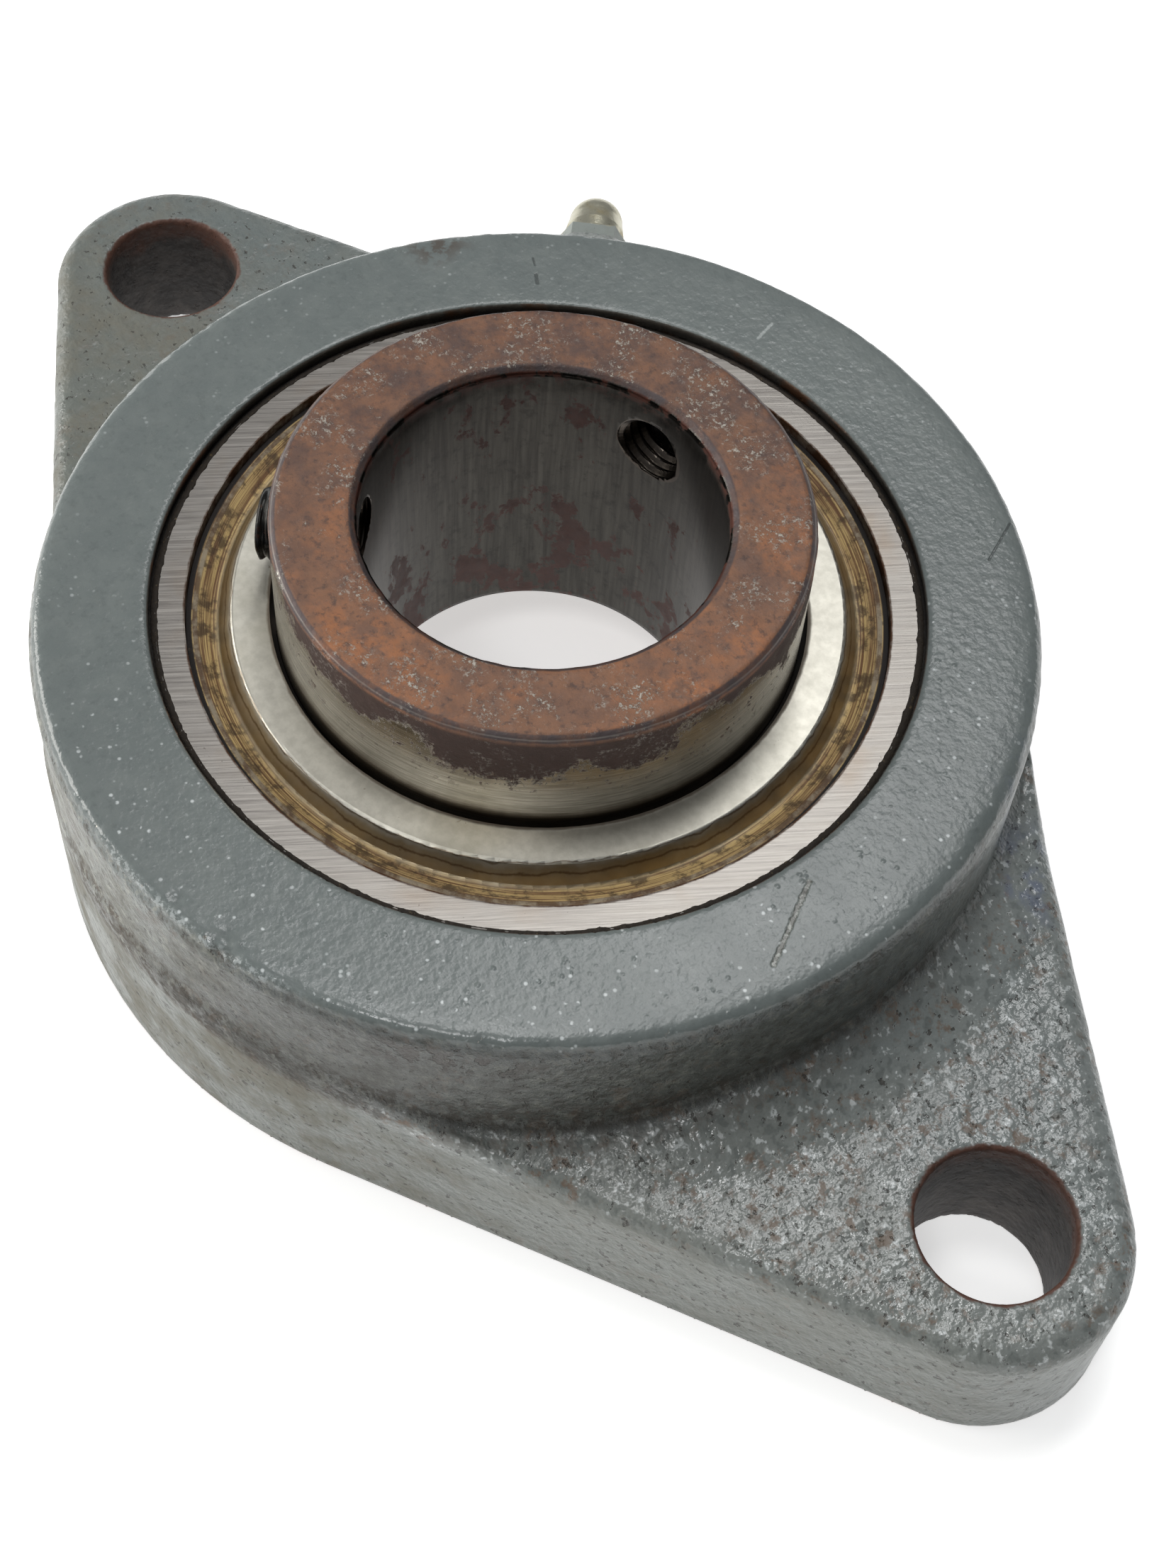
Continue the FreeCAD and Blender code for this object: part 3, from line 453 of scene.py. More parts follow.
def paint_scratches(f, at, paint):
    """Scratches and a scuff on the boss's top."""
    dark = f.both(f.either(*[f.stroke(*mark) for mark in DARK_MARKS]), at.on_top)
    paint = f.over(paint, dark, "3a3f3e", 0.7)
    scuff = f.both(f.stroke(*SCUFF), at.on_top)
    speckle = f.patches(0.45, 0.6, 0.8, 4, 0.7, seed=33)
    paint = f.blend(f.times(scuff, 0.8), paint, f.mix(speckle, "4b4a40", "a3a69f"))
    pale = f.both(f.stroke(*PALE_MARK), at.on_top)
    return f.over(paint, pale, "b4bab8", 0.6), f.either(scuff, dark)


def paint_rim_highlight_and_chips(f, at, paint):
    """The boss's edge: a painted highlight line along the front rim, and chips to the iron."""
    # Painted highlight: a pale broken line just inside the front rim.
    line = f.both(f.band(f.radius, BOSS_RADIUS - 0.9, BOSS_RADIUS - 0.2, 0.3), f.band(f.x, 0, 20, 3))
    broken = f.patches(0.47, 0.58, 0.5, 5, 0.7, seed=43)
    paint = f.over(paint, f.both(line, at.front_rim, at.on_top, broken), "d6dcdc", 0.5)
    chips = f.patches(0.66, 0.7, 1.1, 4, 0.7, 0.5, seed=41)
    bare = f.both(at.rim, chips, f.level(at.front_rim, 0.2, 1.0))
    return f.over(paint, bare, "a9a7a0"), bare


def paint_bolt_holes(f, paint):
    """Rust at the mouths of the bolt holes and dark iron below."""
    from_hole = f.minus(f.calc("ABSOLUTE", f.x), BOLT_X)
    place = f.node("ShaderNodeCombineXYZ", {0: from_hole, 1: f.y}).outputs[0]
    edge = f.ragged(f.length(place), 0.5, 1.6, 4, 0.7, 51)
    in_hole = f.ramp(edge, BOLT_HOLE_RADIUS + 0.5, BOLT_HOLE_RADIUS + 0.2)
    deep = f.ramp(f.ragged(f.z, 4.5, 3.5, 5, 0.7, 61), FLANGE_TOP - 0.4, FLANGE_TOP - 4.0)
    rust = f.mix(f.noise(1.8, 5, 0.7, seed=63), "3d2a22", "6e4433")
    patches = f.patches(0.4, 0.7, 2.4, 5, 0.65, seed=65)
    iron = f.mix(patches, "332d2b", "514a46")
    return f.blend(f.times(in_hole, 0.94), paint, f.blend(deep, rust, iron)), in_hole


def paint_machined(f, paint):
    """Bare turned iron in the seat and underneath."""
    mouth = f.both(
        f.ramp(f.radius, MOUTH_RADIUS + 0.12, MOUTH_RADIUS - 0.05),
        f.ramp(f.z, BOSS_TOP + 1, BOSS_TOP - 0.05),
    )
    seat = f.both(
        f.ramp(f.radius, SEAT_RADIUS + 0.6, SEAT_RADIUS + 0.4),
        f.ramp(f.z, BOSS_TOP - 0.2, BOSS_TOP - 0.5),
    )
    machined = f.either(mouth, seat, f.ramp(f.z, 0.35, 0.15))
    iron = f.mix(f.noise(3.5, 5, 0.6, seed=71), "3a3632", "63605b")
    iron = f.over(iron, f.patches(0.5, 0.64, 6, 4, seed=73), "5f4330")
    return f.blend(machined, paint, iron), machined


def paint_relief(f, at, sunk, scratches):
    """Height of the paint in millimetres: orange peel, grain, beads, sand, pits and scratches."""
    peel = f.times(at.peel, f.level(at.off_top, 0.06, 0.2))
    grain = f.times(f.noise(0.5, 2, 0.5, seed=93), f.level(at.off_top, 0.04, 0.07))
    bead_area = f.both(f.patches(0.42, 0.6, 9, 3, seed=97), f.level(f.ramp(f.x, -18, 22), 0.15, 1.0))
    beads = f.both(f.ramp(f.cells(0.8, seed=95), 0.4, 0.0), f.patches(0.5, 0.6, 1.5, 2, seed=99))
    beads = f.both(beads, bead_area, at.on_top)
    height = f.plus(f.plus(peel, grain), f.times(beads, 0.05))
    height = f.minus(height, f.times(f.both(at.on_wall, at.sand), 0.22))
    height = f.minus(height, f.times(sunk, 0.07))
    return f.minus(height, f.times(scratches, 0.04))


def paint_finish():
    """Grey paint over rough cast iron, laid on layer by layer.

    A layer gives the paint and, where shine or relief need them, its masks.
    """
    f = Finish("grey_paint")
    at = paint_places(f)
    paint = paint_tones(f)
    paint, dirt = paint_dirt(f, at, paint)
    paint, crust = paint_crease(f, at, paint)
    paint = paint_sand_and_shade(f, at, paint)
    paint = paint_lug_light_and_shade(f, at, paint)
    paint, specks, pits = paint_specks(f, at, paint)
    paint = paint_top_glints(f, at, paint)
    paint, cavities = paint_spots(f, at, paint)
    paint, scratches = paint_scratches(f, at, paint)
    paint, bare = paint_rim_highlight_and_chips(f, at, paint)
    paint, in_hole = paint_bolt_holes(f, paint)
    paint, machined = paint_machined(f, paint)

    shine = f.level(f.noise(5, 4, seed=81), 0.22, 0.34)
    shine = f.minus(shine, f.times(f.either(at.near_lug, at.rim), 0.12))
    dull = f.either(dirt, crust, specks, in_hole)
    rough = f.level(f.times(dull, 0.75), shine, 0.75)
    rough = f.level(machined, rough, 0.5)
    metal = f.either(f.times(bare, 0.8), f.times(machined, 0.7))
    sunk = f.either(pits, cavities, f.times(bare, 0.4))
    height = paint_relief(f, at, sunk, scratches)
    return f.finish(paint, rough, metal, f.bump(height))


def ring_rust(f):
    """Rust in browns and oranges, brighter towards +X and -Y."""
    mottle = f.patches(0.36, 0.64, 3.2, 6, 0.72, seed=3)
    rust = f.mix(mottle, "574139", "7c5740")
    near_side = f.ramp(f.minus(f.times(f.x, 0.7), f.times(f.y, 0.5)), -14, 14)
    rust = f.over(rust, near_side, "94684a", 0.4)
    orange = f.both(f.patches(0.4, 0.6, 9, 4, 0.6, seed=5), f.patches(0.38, 0.62, 1.4, 5, 0.7, seed=6))
    rust = f.over(rust, f.both(orange, f.level(near_side, 0.15, 0.95)), "a26840")
    return f.over(rust, f.patches(0.5, 0.7, 0.7, 4, 0.75, seed=7), "45342f", 0.75)


def ring_chamfers(f):
    """Mask of the front face's two chamfers."""
    outer = f.band(f.radius, RING_RADIUS - 0.62, RING_RADIUS - 0.08, 0.08)
    inner = f.band(f.radius, BORE_RADIUS + 0.08, BORE_RADIUS + 0.72, 0.1)
    return f.both(f.either(outer, inner), f.ramp(f.z, RING_TOP - 0.9, RING_TOP - 0.7))


def ring_steel(f, brush):
    """Brushed steel of the outside, with a brown film near the shield."""
    steel = f.mix(f.ramp(brush, 0.3, 0.7), "9a958b", "c9c4ba")
    steel = f.over(steel, f.patches(0.5, 0.75, 9, 3, seed=19), "7d7568", 0.4)
    low = f.ramp(f.z, INSERT_TOP + 2.6, INSERT_TOP + 0.4)
    return f.over(steel, f.times(low, f.level(f.noise(6, 4, seed=21), 0.2, 0.7)), "6b5638")


def ring_rust_outside(f, outside):
    """Mask of the rust that runs down the outside to a ragged edge, and of islands below it."""
    sag = f.level(f.patches(0.3, 0.7, 9, 3, 0.5, seed=23), 0.6, 6.0)
    edge = f.minus(RING_TOP, f.ragged(sag, 3.4, 1.0, 6, 0.8, 25))
    down = f.ramp(f.minus(f.z, edge), -0.35, 0.35)
    islands = f.patches(0.59, 0.63, 1.0, 5, 0.72, seed=27)
    islands = f.both(islands, f.ramp(f.z, RING_TOP - 9, RING_TOP - 5))
    return f.both(outside, f.either(down, islands))


def ring_bore(f):
    """Colour of the bore, and the mask of its rust: patches low down and a rusty lip."""
    low = f.ramp(f.z, RING_TOP - 12, RING_BOTTOM + 5)
    patchy = f.noise(4.2, 6, 0.7, at=f.stretched(1, 1, 0.7), seed=31)
    patchy = f.plus(f.plus(patchy, f.times(low, 0.07)), f.ramp(f.x, 6, -12, -0.04, 0.0))
    lip = f.ramp(f.z, RING_TOP - 2.4, RING_TOP - 0.8)
    lip = f.both(lip, f.patches(0.47, 0.53, 2.6, 5, 0.72, seed=33))
    rusty = f.either(f.ramp(patchy, 0.585, 0.625), lip)
    streaks = f.noise(0.5, 3, 0.6, at=f.stretched(1, 1, 0.06), seed=35)
    steel = f.mix(f.ramp(streaks, 0.2, 0.8), "3d3b38", "53514c")
    steel = f.over(steel, f.patches(0.5, 0.7, 1.2, 5, 0.7, seed=37), "2b2a29", 0.45)
    rust = f.mix(f.noise(1.2, 5, 0.7, seed=39), "2f1f1c", "693a2a")
    return f.blend(rusty, steel, rust), rusty


def rusty_ring_finish():
    """Inner ring: rusty front face and bore, bright brushed outside."""
    f = Finish("rusty_steel")
    front = f.ramp(f.z, RING_TOP - 0.3, RING_TOP - 0.12)
    outside = f.ramp(f.radius, RING_RADIUS - 0.35, RING_RADIUS - 0.18)
    bore = f.ramp(f.radius, BORE_RADIUS + 0.35, BORE_RADIUS + 0.16)
    chamfer = ring_chamfers(f)
    rust_out = ring_rust_outside(f, outside)
    clean_out = f.both(outside, f.minus(1.0, rust_out))
    brush = f.noise(0.22, 4, 0.65, at=f.stretched(0.05, 0.05, 1.0), seed=17)
    bore_colour, bore_rust = ring_bore(f)
    in_hole = screw_hole_mask(f)
    fleck_area = f.patches(0.47, 0.61, 4.4, 5, 0.7, seed=13)
    flecks = f.both(f.patches(0.525, 0.59, 0.42, 5, 0.8, seed=9), fleck_area)
    flecks = f.both(flecks, f.either(front, f.times(rust_out, 0.5)))

    worn = f.both(chamfer, f.ramp(f.noise(2.4, 4, seed=15), 0.3, 0.6, 0.45, 0.95))
    surface = f.blend(clean_out, f.over(ring_rust(f), worn, "514a4b"), ring_steel(f, brush))
    dusky = f.mix(f.noise(1.4, 5, 0.7, seed=43), "352824", "54403a")
    surface = f.blend(f.both(rust_out, f.ramp(f.z, RING_TOP - 0.5, RING_TOP - 1.2)), surface, dusky)
    surface = f.over(surface, flecks, "b8b1a6", 0.95)
    surface = f.blend(bore, surface, bore_colour)
    hole_colour = f.mix(f.noise(1.1, 4, 0.7, seed=57), "3b3734", "6d655c")
    surface = f.blend(in_hole, surface, hole_colour)

    metal_bore = f.both(bore, f.minus(1.0, bore_rust))
    metal = f.either(clean_out, metal_bore, f.times(chamfer, 0.5), in_hole)
    rough = f.level(f.noise(1.4, 4, seed=47), 0.42, 0.7)
    rough = f.level(clean_out, rough, 0.27)
    rough = f.level(metal_bore, rough, 0.3)
    rough = f.level(in_hole, rough, 0.3)
    rusty = f.either(front, chamfer, rust_out)
    height = f.times(f.noise(0.5, 4, 0.7, seed=51), f.level(rusty, 0.006, 0.08))
    height = f.plus(height, f.times(f.noise(2.6, 4, seed=53), f.level(rusty, 0.0, 0.10)))
    height = f.plus(height, f.times(flecks, 0.03))
    height = f.plus(height, f.times(brush, f.times(clean_out, 0.008)))
    return f.finish(surface, rough, metal, f.bump(height, 0.9))


def screw_hole_mask(f):
    """Mask of the walls of the two threaded holes."""
    masks = []
    for azimuth in SCREW_AZIMUTHS.values():
        along = (math.cos(math.radians(azimuth)), math.sin(math.radians(azimuth)))
        aside = f.minus(f.times(f.y, along[0]), f.times(f.x, along[1]))
        ahead = f.plus(f.times(f.x, along[0]), f.times(f.y, along[1]))
        up = f.minus(f.z, SCREW_HEIGHT)
        far = f.calc("SQRT", f.plus(f.times(aside, aside), f.times(up, up)))
        near = f.ramp(far, SCREW_HOLE_RADIUS + 0.12, SCREW_HOLE_RADIUS + 0.02)
        masks.append(f.both(near, f.ramp(ahead, 0, 1)))
    return f.either(*masks)


def ground_finish():
    """Outer ring: bright ground face with straight grain, small nicks and brown stains."""
    f = Finish("ground_steel")
    grain = f.noise(0.22, 4, 0.7, at=f.turned(GRAIN_ANGLE, 0.02, 1.0), seed=3)
    coarse = f.noise(1.0, 3, 0.6, at=f.turned(GRAIN_ANGLE, 0.03, 1.0), seed=5)
    steel = f.mix(f.ramp(grain, 0.25, 0.75), "74706c", "a09c96")
    steel = f.over(steel, f.ramp(coarse, 0.45, 0.7, 0.0, 0.4), "85807a")
    warm = f.both(f.patches(0.5, 0.75, 9, 4, seed=7), f.ramp(f.radius, 33.9, 32.0))
    steel = f.over(steel, warm, "7f6648", 0.3)
    inner_edge = f.ramp(f.ragged(f.radius, 0.1, 1.0, 4, 0.7, 8), 31.55, 31.38)
    steel = f.over(steel, f.both(inner_edge, f.patches(0.3, 0.6, 3, 4, 0.7, seed=9)), "4a3528")
    outer_edge = f.ramp(f.ragged(f.radius, 0.05, 0.8, 4, 0.55, 11), 33.88, 33.97)
    steel = f.over(steel, outer_edge, "1d1a17", 0.85)
    specks = f.patches(0.68, 0.72, 0.6, 4, 0.7, seed=13)
    steel = f.over(steel, specks, "4a4038", 0.6)
    rough = f.level(f.either(outer_edge, f.times(inner_edge, 0.7)), f.level(grain, 0.3, 0.46), 0.7)
    height = f.plus(f.times(grain, 0.014), f.times(coarse, 0.012))
    return f.finish(steel, rough, f.level(outer_edge, 1.0, 0.3), f.bump(height, 0.8))


def shield_finish():
    """Shields: pale pressed sheet with brown rust in the channel, tide lines at the lip, and painted
    shade on the outer rim in the gap to the outer ring.
    """
    f = Finish("pressed_steel")
    across = f.ragged(f.radius, 0.5, 5, 5, 0.6, 3)
    sheet = f.mix(f.patches(0.3, 0.7, 0.8, 4, 0.6, seed=5), "bab7ac", "c9c6bb")
    sheet = f.over(sheet, f.patches(0.45, 0.75, 10, 3, seed=7), "98927e", 0.45)
    gold = f.mix(f.noise(4, 4, seed=9), "ab9566", "7c6338")
    tide = f.ramp(across, 27.25, 27.7)
    sheet = f.blend(f.times(tide, f.level(f.noise(5, 3, seed=11), 0.4, 0.95)), sheet, gold)
    line = f.either(f.band(across, 27.28, 27.36, 0.05), f.band(f.plus(across, 0.4), 28.2, 28.3, 0.06))
    sheet = f.over(sheet, line, "5b4122", 0.75)

    hoops = f.noise(0.16, 3, 0.6, at=f.around(1.0, 0.012), seed=13)
    rust = f.mix(f.ramp(hoops, 0.38, 0.6), "6e4a2f", "cbb078")
    rust = f.over(rust, f.patches(0.46, 0.62, 1.8, 5, 0.7, seed=14), "3a2617", 0.85)
    channel_edge = f.ragged(f.radius, 0.25, 2.2, 4, 0.65, 15)
    channel = f.ramp(channel_edge, 28.3, 29.0)
    sheet = f.blend(f.times(channel, 0.9), sheet, rust)
    ridge = f.band(f.radius, 30.28, 30.72, 0.08)
    beige = f.mix(f.patches(0.38, 0.6, 2.5, 5, 0.7, seed=17), "9a8f7b", "5d4836")
    sheet = f.blend(f.times(ridge, 0.9), sheet, beige)
    # Painted shade: near black on the outer rim, in the gap to the outer ring.
    wall = f.ramp(f.radius, 30.74, 30.88)
    sheet = f.over(sheet, wall, "17110e")
    seal_edge = f.ragged(f.radius, 0.2, 2.4, 4, 0.55, 19)
    near_ring = f.ramp(seal_edge, 24.3, 24.0)
    sheet = f.over(sheet, near_ring, "4a3a28", 0.8)
    blots = f.patches(0.67, 0.71, 1.1, 5, 0.7, seed=21)
    sheet = f.over(sheet, blots, "6a5a44", 0.5)

    # Rust, dirt and the painted gap shade: rough and barely metallic.
    dirt_and_gap_shade = f.either(channel, wall, f.times(near_ring, 0.6))
    rough = f.level(dirt_and_gap_shade, f.level(f.noise(2, 4, seed=23), 0.36, 0.5), 0.7)
    metal = f.level(dirt_and_gap_shade, 0.92, 0.2)
    height = f.times(f.noise(0.7, 5, 0.65, seed=25), f.level(dirt_and_gap_shade, 0.008, 0.08))
    height = f.plus(height, f.times(f.both(hoops, channel), 0.05))
    return f.finish(sheet, rough, metal, f.bump(height, 0.8))


def screw_finish():
    """Blackened set screws, polished by wear on the crests, with brown in the roots."""
    f = Finish("black_screw_steel")
    black = f.mix(f.noise(1.2, 4, seed=3), "141414", "2a2927")
    worn = f.patches(0.56, 0.7, 0.8, 4, 0.7, seed=5)
    black = f.over(black, worn, "6d6a64", 0.6)
    rust = f.patches(0.56, 0.68, 1.6, 4, 0.65, seed=7)
    black = f.over(black, rust, "4a2b1c", 0.6)
    rough = f.level(rust, f.level(f.noise(0.9, seed=9), 0.2, 0.36), 0.65)
    height = f.times(f.noise(0.3, 4, seed=11), 0.02)
    return f.finish(black, rough, 0.85, f.bump(height, 0.7))


def nipple_finish():
    """Dull plated nipple with grey overspray at its foot and a brown film."""
    f = Finish("plated_steel")
    plate = f.mix(f.noise(1.8, 5, 0.6, seed=3), "a4a190", "ccc9b4")
    film = f.patches(0.48, 0.7, 2.6, 4, 0.6, seed=5)
    plate = f.over(plate, film, "8a7a4e", 0.55)
    foot = f.ramp(f.ragged(f.radius, 0.4, 1.2, 4, 0.55, 7), 48.3, 47.9)
    plate = f.over(plate, foot, "7c8584", 0.85)
    pits = f.patches(0.62, 0.72, 0.5, 4, 0.7, seed=9)
    plate = f.over(plate, pits, "4b4436", 0.5)
    rough = f.level(f.either(foot, film), 0.3, 0.5)
    height = f.times(f.noise(0.5, 4, seed=11), 0.04)
    return f.finish(plate, rough, f.level(foot, 0.9, 0.1), f.bump(height, 0.8))


def bright_finish():
    """Polished balls and springs with a film of grease and fine scratches."""
    f = Finish("bright_steel")
    scratch = f.noise(0.25, 3, 0.6, at=f.stretched(1.0, 0.08, 1.0), seed=3)
    steel = f.mix(f.noise(3, 3, seed=5), "b5b4b0", "d0cfcb")
    grease = f.patches(0.5, 0.68, 2.5, 4, seed=7)
    steel = f.over(steel, grease, "a08a4e", 0.35)
    rough = f.level(grease, f.level(scratch, 0.06, 0.16), 0.3)
    return f.finish(steel, rough, 1.0, f.bump(f.times(scratch, 0.006), 0.6))


def cage_finish():
    """Pressed strip steel with a greasy film."""
    f = Finish("cage_steel")
    steel = f.mix(f.noise(1.6, 5, 0.6, seed=3), "7d7b75", "a3a19a")
    grease = f.patches(0.46, 0.66, 2.8, 4, seed=5)
    steel = f.over(steel, grease, "6b5a33", 0.5)
    rough = f.level(grease, f.level(f.noise(0.8, seed=7), 0.32, 0.5), 0.25)
    height = f.times(f.noise(0.6, 4, seed=9), 0.02)
    return f.finish(steel, rough, 0.95, f.bump(height, 0.7))


def rubber_finish():
    """Nitrile rubber, matt and dusty."""
    f = Finish("black_rubber")
    rubber = f.mix(f.noise(1.4, 5, 0.6, seed=3), "161514", "2b2825")
    dust = f.patches(0.5, 0.75, 3.0, 4, seed=5)
    rubber = f.over(rubber, dust, "4a4036", 0.4)
    rough = f.level(dust, 0.55, 0.8)
    height = f.times(f.noise(0.4, 4, seed=7), 0.03)
    return f.finish(rubber, rough, 0.0, f.bump(height, 0.7))


def grime_finish():
    """Dark fibrous dirt caught between the housing and the insert."""
    f = Finish("grime")
    dirt = f.mix(f.noise(0.8, 5, 0.7, seed=3), "0e0c0a", "33291d")
    dirt = f.over(dirt, f.patches(0.6, 0.7, 0.5, 4, 0.7, seed=5), "5d5037", 0.8)
    height = f.times(f.noise(0.3, 4, seed=7), 0.12)
    return f.finish(dirt, f.level(f.noise(1, seed=9), 0.7, 0.95), 0.0, f.bump(height, 1.0))


# Meshes

def linked(name, mesh):
    made = bpy.data.objects.new(name, mesh)
    bpy.context.scene.collection.objects.link(made)
    return made


def mesh_from(name, vertices, faces):
    """A mesh from points in millimetres."""
    mesh = bpy.data.meshes.new(name)
    mesh.from_pydata([tuple(np.asarray(v) * MM) for v in vertices], [], faces)
    return mesh


def dress_piece(piece, body, material):
    piece.data.materials.clear()
    piece.data.materials.append(material)
    piece.data.polygons.foreach_set("use_smooth", [True] * len(piece.data.polygons))
    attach(piece, body)


def new_piece(name, vertices, faces, body, material):
    piece = linked(name, mesh_from(name, vertices, faces))
    dress_piece(piece, body, material)
    return piece


def copy_of(node, name):
    """A closed copy of a CAD node's mesh as a new object."""
    mesh = bpy.data.meshes.new(name)
    work = bmesh.new()
    work.from_mesh(nodes[node].data)
    bmesh.ops.remove_doubles(work, verts=work.verts, dist=1e-7)
    work.to_mesh(mesh)
    work.free()
    return linked(name, mesh)


def search_tree(mesh):
    work = bmesh.new()
    work.from_mesh(mesh)
    tree = BVHTree.FromBMesh(work)
    work.free()
    return tree


def face_outward(piece):
    work = bmesh.new()
    work.from_mesh(piece.data)
    bmesh.ops.recalc_face_normals(work, faces=work.faces)
    work.to_mesh(piece.data)
    work.free()
    piece.data.update()


def bake_modifiers(piece):
    """Replace a piece's mesh by what its modifiers make of it."""
    graph = bpy.context.evaluated_depsgraph_get()
    result = bpy.data.meshes.new_from_object(piece.evaluated_get(graph))
    piece.modifiers.clear()
    piece.data = result


def remesh(piece, voxel):
    even = piece.modifiers.new("Even", "REMESH")
    even.mode = "VOXEL"
    even.voxel_size = voxel * MM
    bake_modifiers(piece)


def rows_of(piece, field="co"):
    """A vector of each of a mesh's points: its place in metres or its normal."""
    rows = np.empty(len(piece.data.vertices) * 3)
    piece.data.vertices.foreach_get(field, rows)
    return rows.reshape(-1, 3)


def put_points(piece, points):
    piece.data.vertices.foreach_set("co", points.ravel())
    piece.data.update()


def snap_to(piece, tree):
    """Move each point of a mesh to the nearest place on a surface."""
    points = rows_of(piece)
    for index, point in enumerate(points):
        points[index] = tree.find_nearest(point)[0]
    put_points(piece, points)


def fractal(points, size, octaves, seed):
    """Fractal noise at points in millimetres, about -1 to 1."""
    shift = Vector((seed, -seed * 0.7, seed * 1.3))
    return np.array([noise.fractal(Vector(p) / size + shift, 0.6, 2.1, octaves) for p in points])


def step(value, start, end):
    """Smooth step from 0 at start to 1 at end."""
    share = np.clip((value - start) / (end - start), 0, 1)
    return share * share * (3 - 2 * share)


# The casting

def with_crease(points):
    """The foot of the boss as cast: a sharp crease on each lug's side, above a slow ramp to the lug."""
    x, y, z = points.T
    radius = np.hypot(x, y)
    azimuth = np.degrees(np.arctan2(np.abs(y), np.abs(x)))
    rise = CREASE_RISE + CREASE_RISE_AT_LUG * step(azimuth, 33, 9)
    share = np.clip((radius - BOSS_RADIUS) / CREASE_RUN, 0, 1)
    ramp_height = FLANGE_TOP + rise * (1 - share) ** 2
    crease_height = FLANGE_TOP + rise

    side = math.asin((BOSS_RADIUS + FLANGE_LEDGE - FLANGE_END_RADIUS) / BOLT_X)
    from_edge = BOSS_RADIUS + FLANGE_LEDGE - np.abs(x) * math.sin(side) - np.abs(y) * math.cos(side)
    foot = (radius > BOSS_RADIUS - 0.05) & (radius < BOSS_RADIUS + CREASE_RUN)
    foot &= (z > FLANGE_TOP - 0.05) & (z < FLANGE_TOP + ROOT_RADIUS + 0.05) & (azimuth < 59)
    weight = np.where(foot, step(from_edge, 0.0, 1.5) * step(azimuth, 58, 50), 0)

    to_wall = np.hypot(radius - BOSS_RADIUS, np.minimum(z - crease_height, 0))
    on_wall = to_wall < np.abs(z - ramp_height) * 0.8
    new_radius = np.where(on_wall, BOSS_RADIUS, radius)
    new_height = np.where(on_wall, np.maximum(z, crease_height), ramp_height)
    scale = 1 + weight * (new_radius / radius - 1)
    return np.column_stack((x * scale, y * scale, z + weight * (new_height - z)))


def as_cast(at):
    """1 on the skin as cast, 0 on machined faces and on the boss's flat top."""
    from_bolt = np.hypot(np.abs(at.x) - BOLT_X, at.y)
    cast = step(at.radius, SEAT_RADIUS + 1.5, SEAT_RADIUS + 2.5) * step(at.z, 0.3, 1.2)
    cast *= step(from_bolt, BOLT_HOLE_RADIUS + 0.5, BOLT_HOLE_RADIUS + 1.5)
    flat_top = step(at.z, BOSS_TOP - 0.5, BOSS_TOP - 0.1) * step(at.upward, 0.9, 0.99)
    return cast * (1 - flat_top)


def skin_depth(points):
    """Depth of the skin's broad lumps, orange peel and pits."""
    lumps = 0.5 + 0.5 * fractal(points, 7.0, 3, 3.1)
    peel = 0.5 + 0.5 * fractal(points, 1.9, 3, 17.3)
    pits = step(fractal(points, 1.5, 2, 29.7), 0.42, 0.75)
    return LUMP_DEPTH * lumps + PEEL_DEPTH * peel + PIT_DEPTH * pits


def rim_droop(at):
    outwards = np.clip((at.radius - BOSS_RADIUS) / RIM_FADE + 1, 0, 1)
    return RIM_DROOP * outwards ** 2 * step(at.z, BOSS_TOP - 2, BOSS_TOP - 1)


def rim_wear(at, points):
    across = step(at.radius, BOSS_RADIUS - 2.2, BOSS_RADIUS - 0.6)
    edge = across * step(at.z, BOSS_TOP - 3.5, BOSS_TOP - 0.9)
    return edge * step(fractal(points, 2.6, 3, 41.9), 0.25, 0.7) * WEAR_DEPTH


def rim_chip(at, points):
    away = np.hypot(at.x - CHIP_PLACE[0], at.y - CHIP_PLACE[1])
    chipped = step(away, 2.6, 0.6) * step(at.z, BOSS_TOP - 2.4, BOSS_TOP - 1.2)
    return chipped * step(fractal(points, 1.1, 2, 47.0), -0.3, 0.4) * CHIP_DEPTH


def rim_dimple(at):
    away = np.hypot(at.x - DIMPLE_PLACE[0], at.y - DIMPLE_PLACE[1])
    return step(away, 0.7, 0.2) * step(at.z, 28.5, 29.5) * DIMPLE_DEPTH


def make_casting(material):
    """The cast housing with its rough skin, pushed in from the CAD surface."""
    piece = copy_of("housing", "housing_casting")
    surface = search_tree(piece.data)
    remesh(piece, CAST_VOXEL)
    snap_to(piece, surface)
    points = rows_of(piece) / MM
    normals = rows_of(piece, "normal")
    x, y, z = points.T
    at = SimpleNamespace(x=x, y=y, z=z, radius=np.hypot(x, y), upward=normals[:, 2])
    points = with_crease(points)
    depth = as_cast(at) * skin_depth(points)
    depth += rim_droop(at)
    depth += rim_wear(at, points)
    depth += rim_chip(at, points)
    depth += rim_dimple(at)
    points -= normals * depth[:, None]
    points[:, 2] = np.clip(points[:, 2], 0, BOSS_TOP)
    put_points(piece, points * MM)
    dress_piece(piece, "housing", material)
    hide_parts("housing")


# Turned and threaded shapes

def loop_faces(count, turns):
    """Faces of a closed section of count points that is carried round the shaft axis."""
    faces = []
    for turn in range(turns):
        here = turn * count
        there = (turn + 1) % turns * count
        for p in range(count):
            q = (p + 1) % count
            faces.append((here + p, there + p, there + q, here + q))
    return faces


def lathe(profile, turns):
    """Points and faces of a closed profile of (radius, height) points turned about Z."""
    angles = np.arange(turns) * 2 * math.pi / turns
    vertices = [(r * math.cos(a), r * math.sin(a), z) for a in angles for r, z in profile]
    return vertices, loop_faces(len(profile), turns)


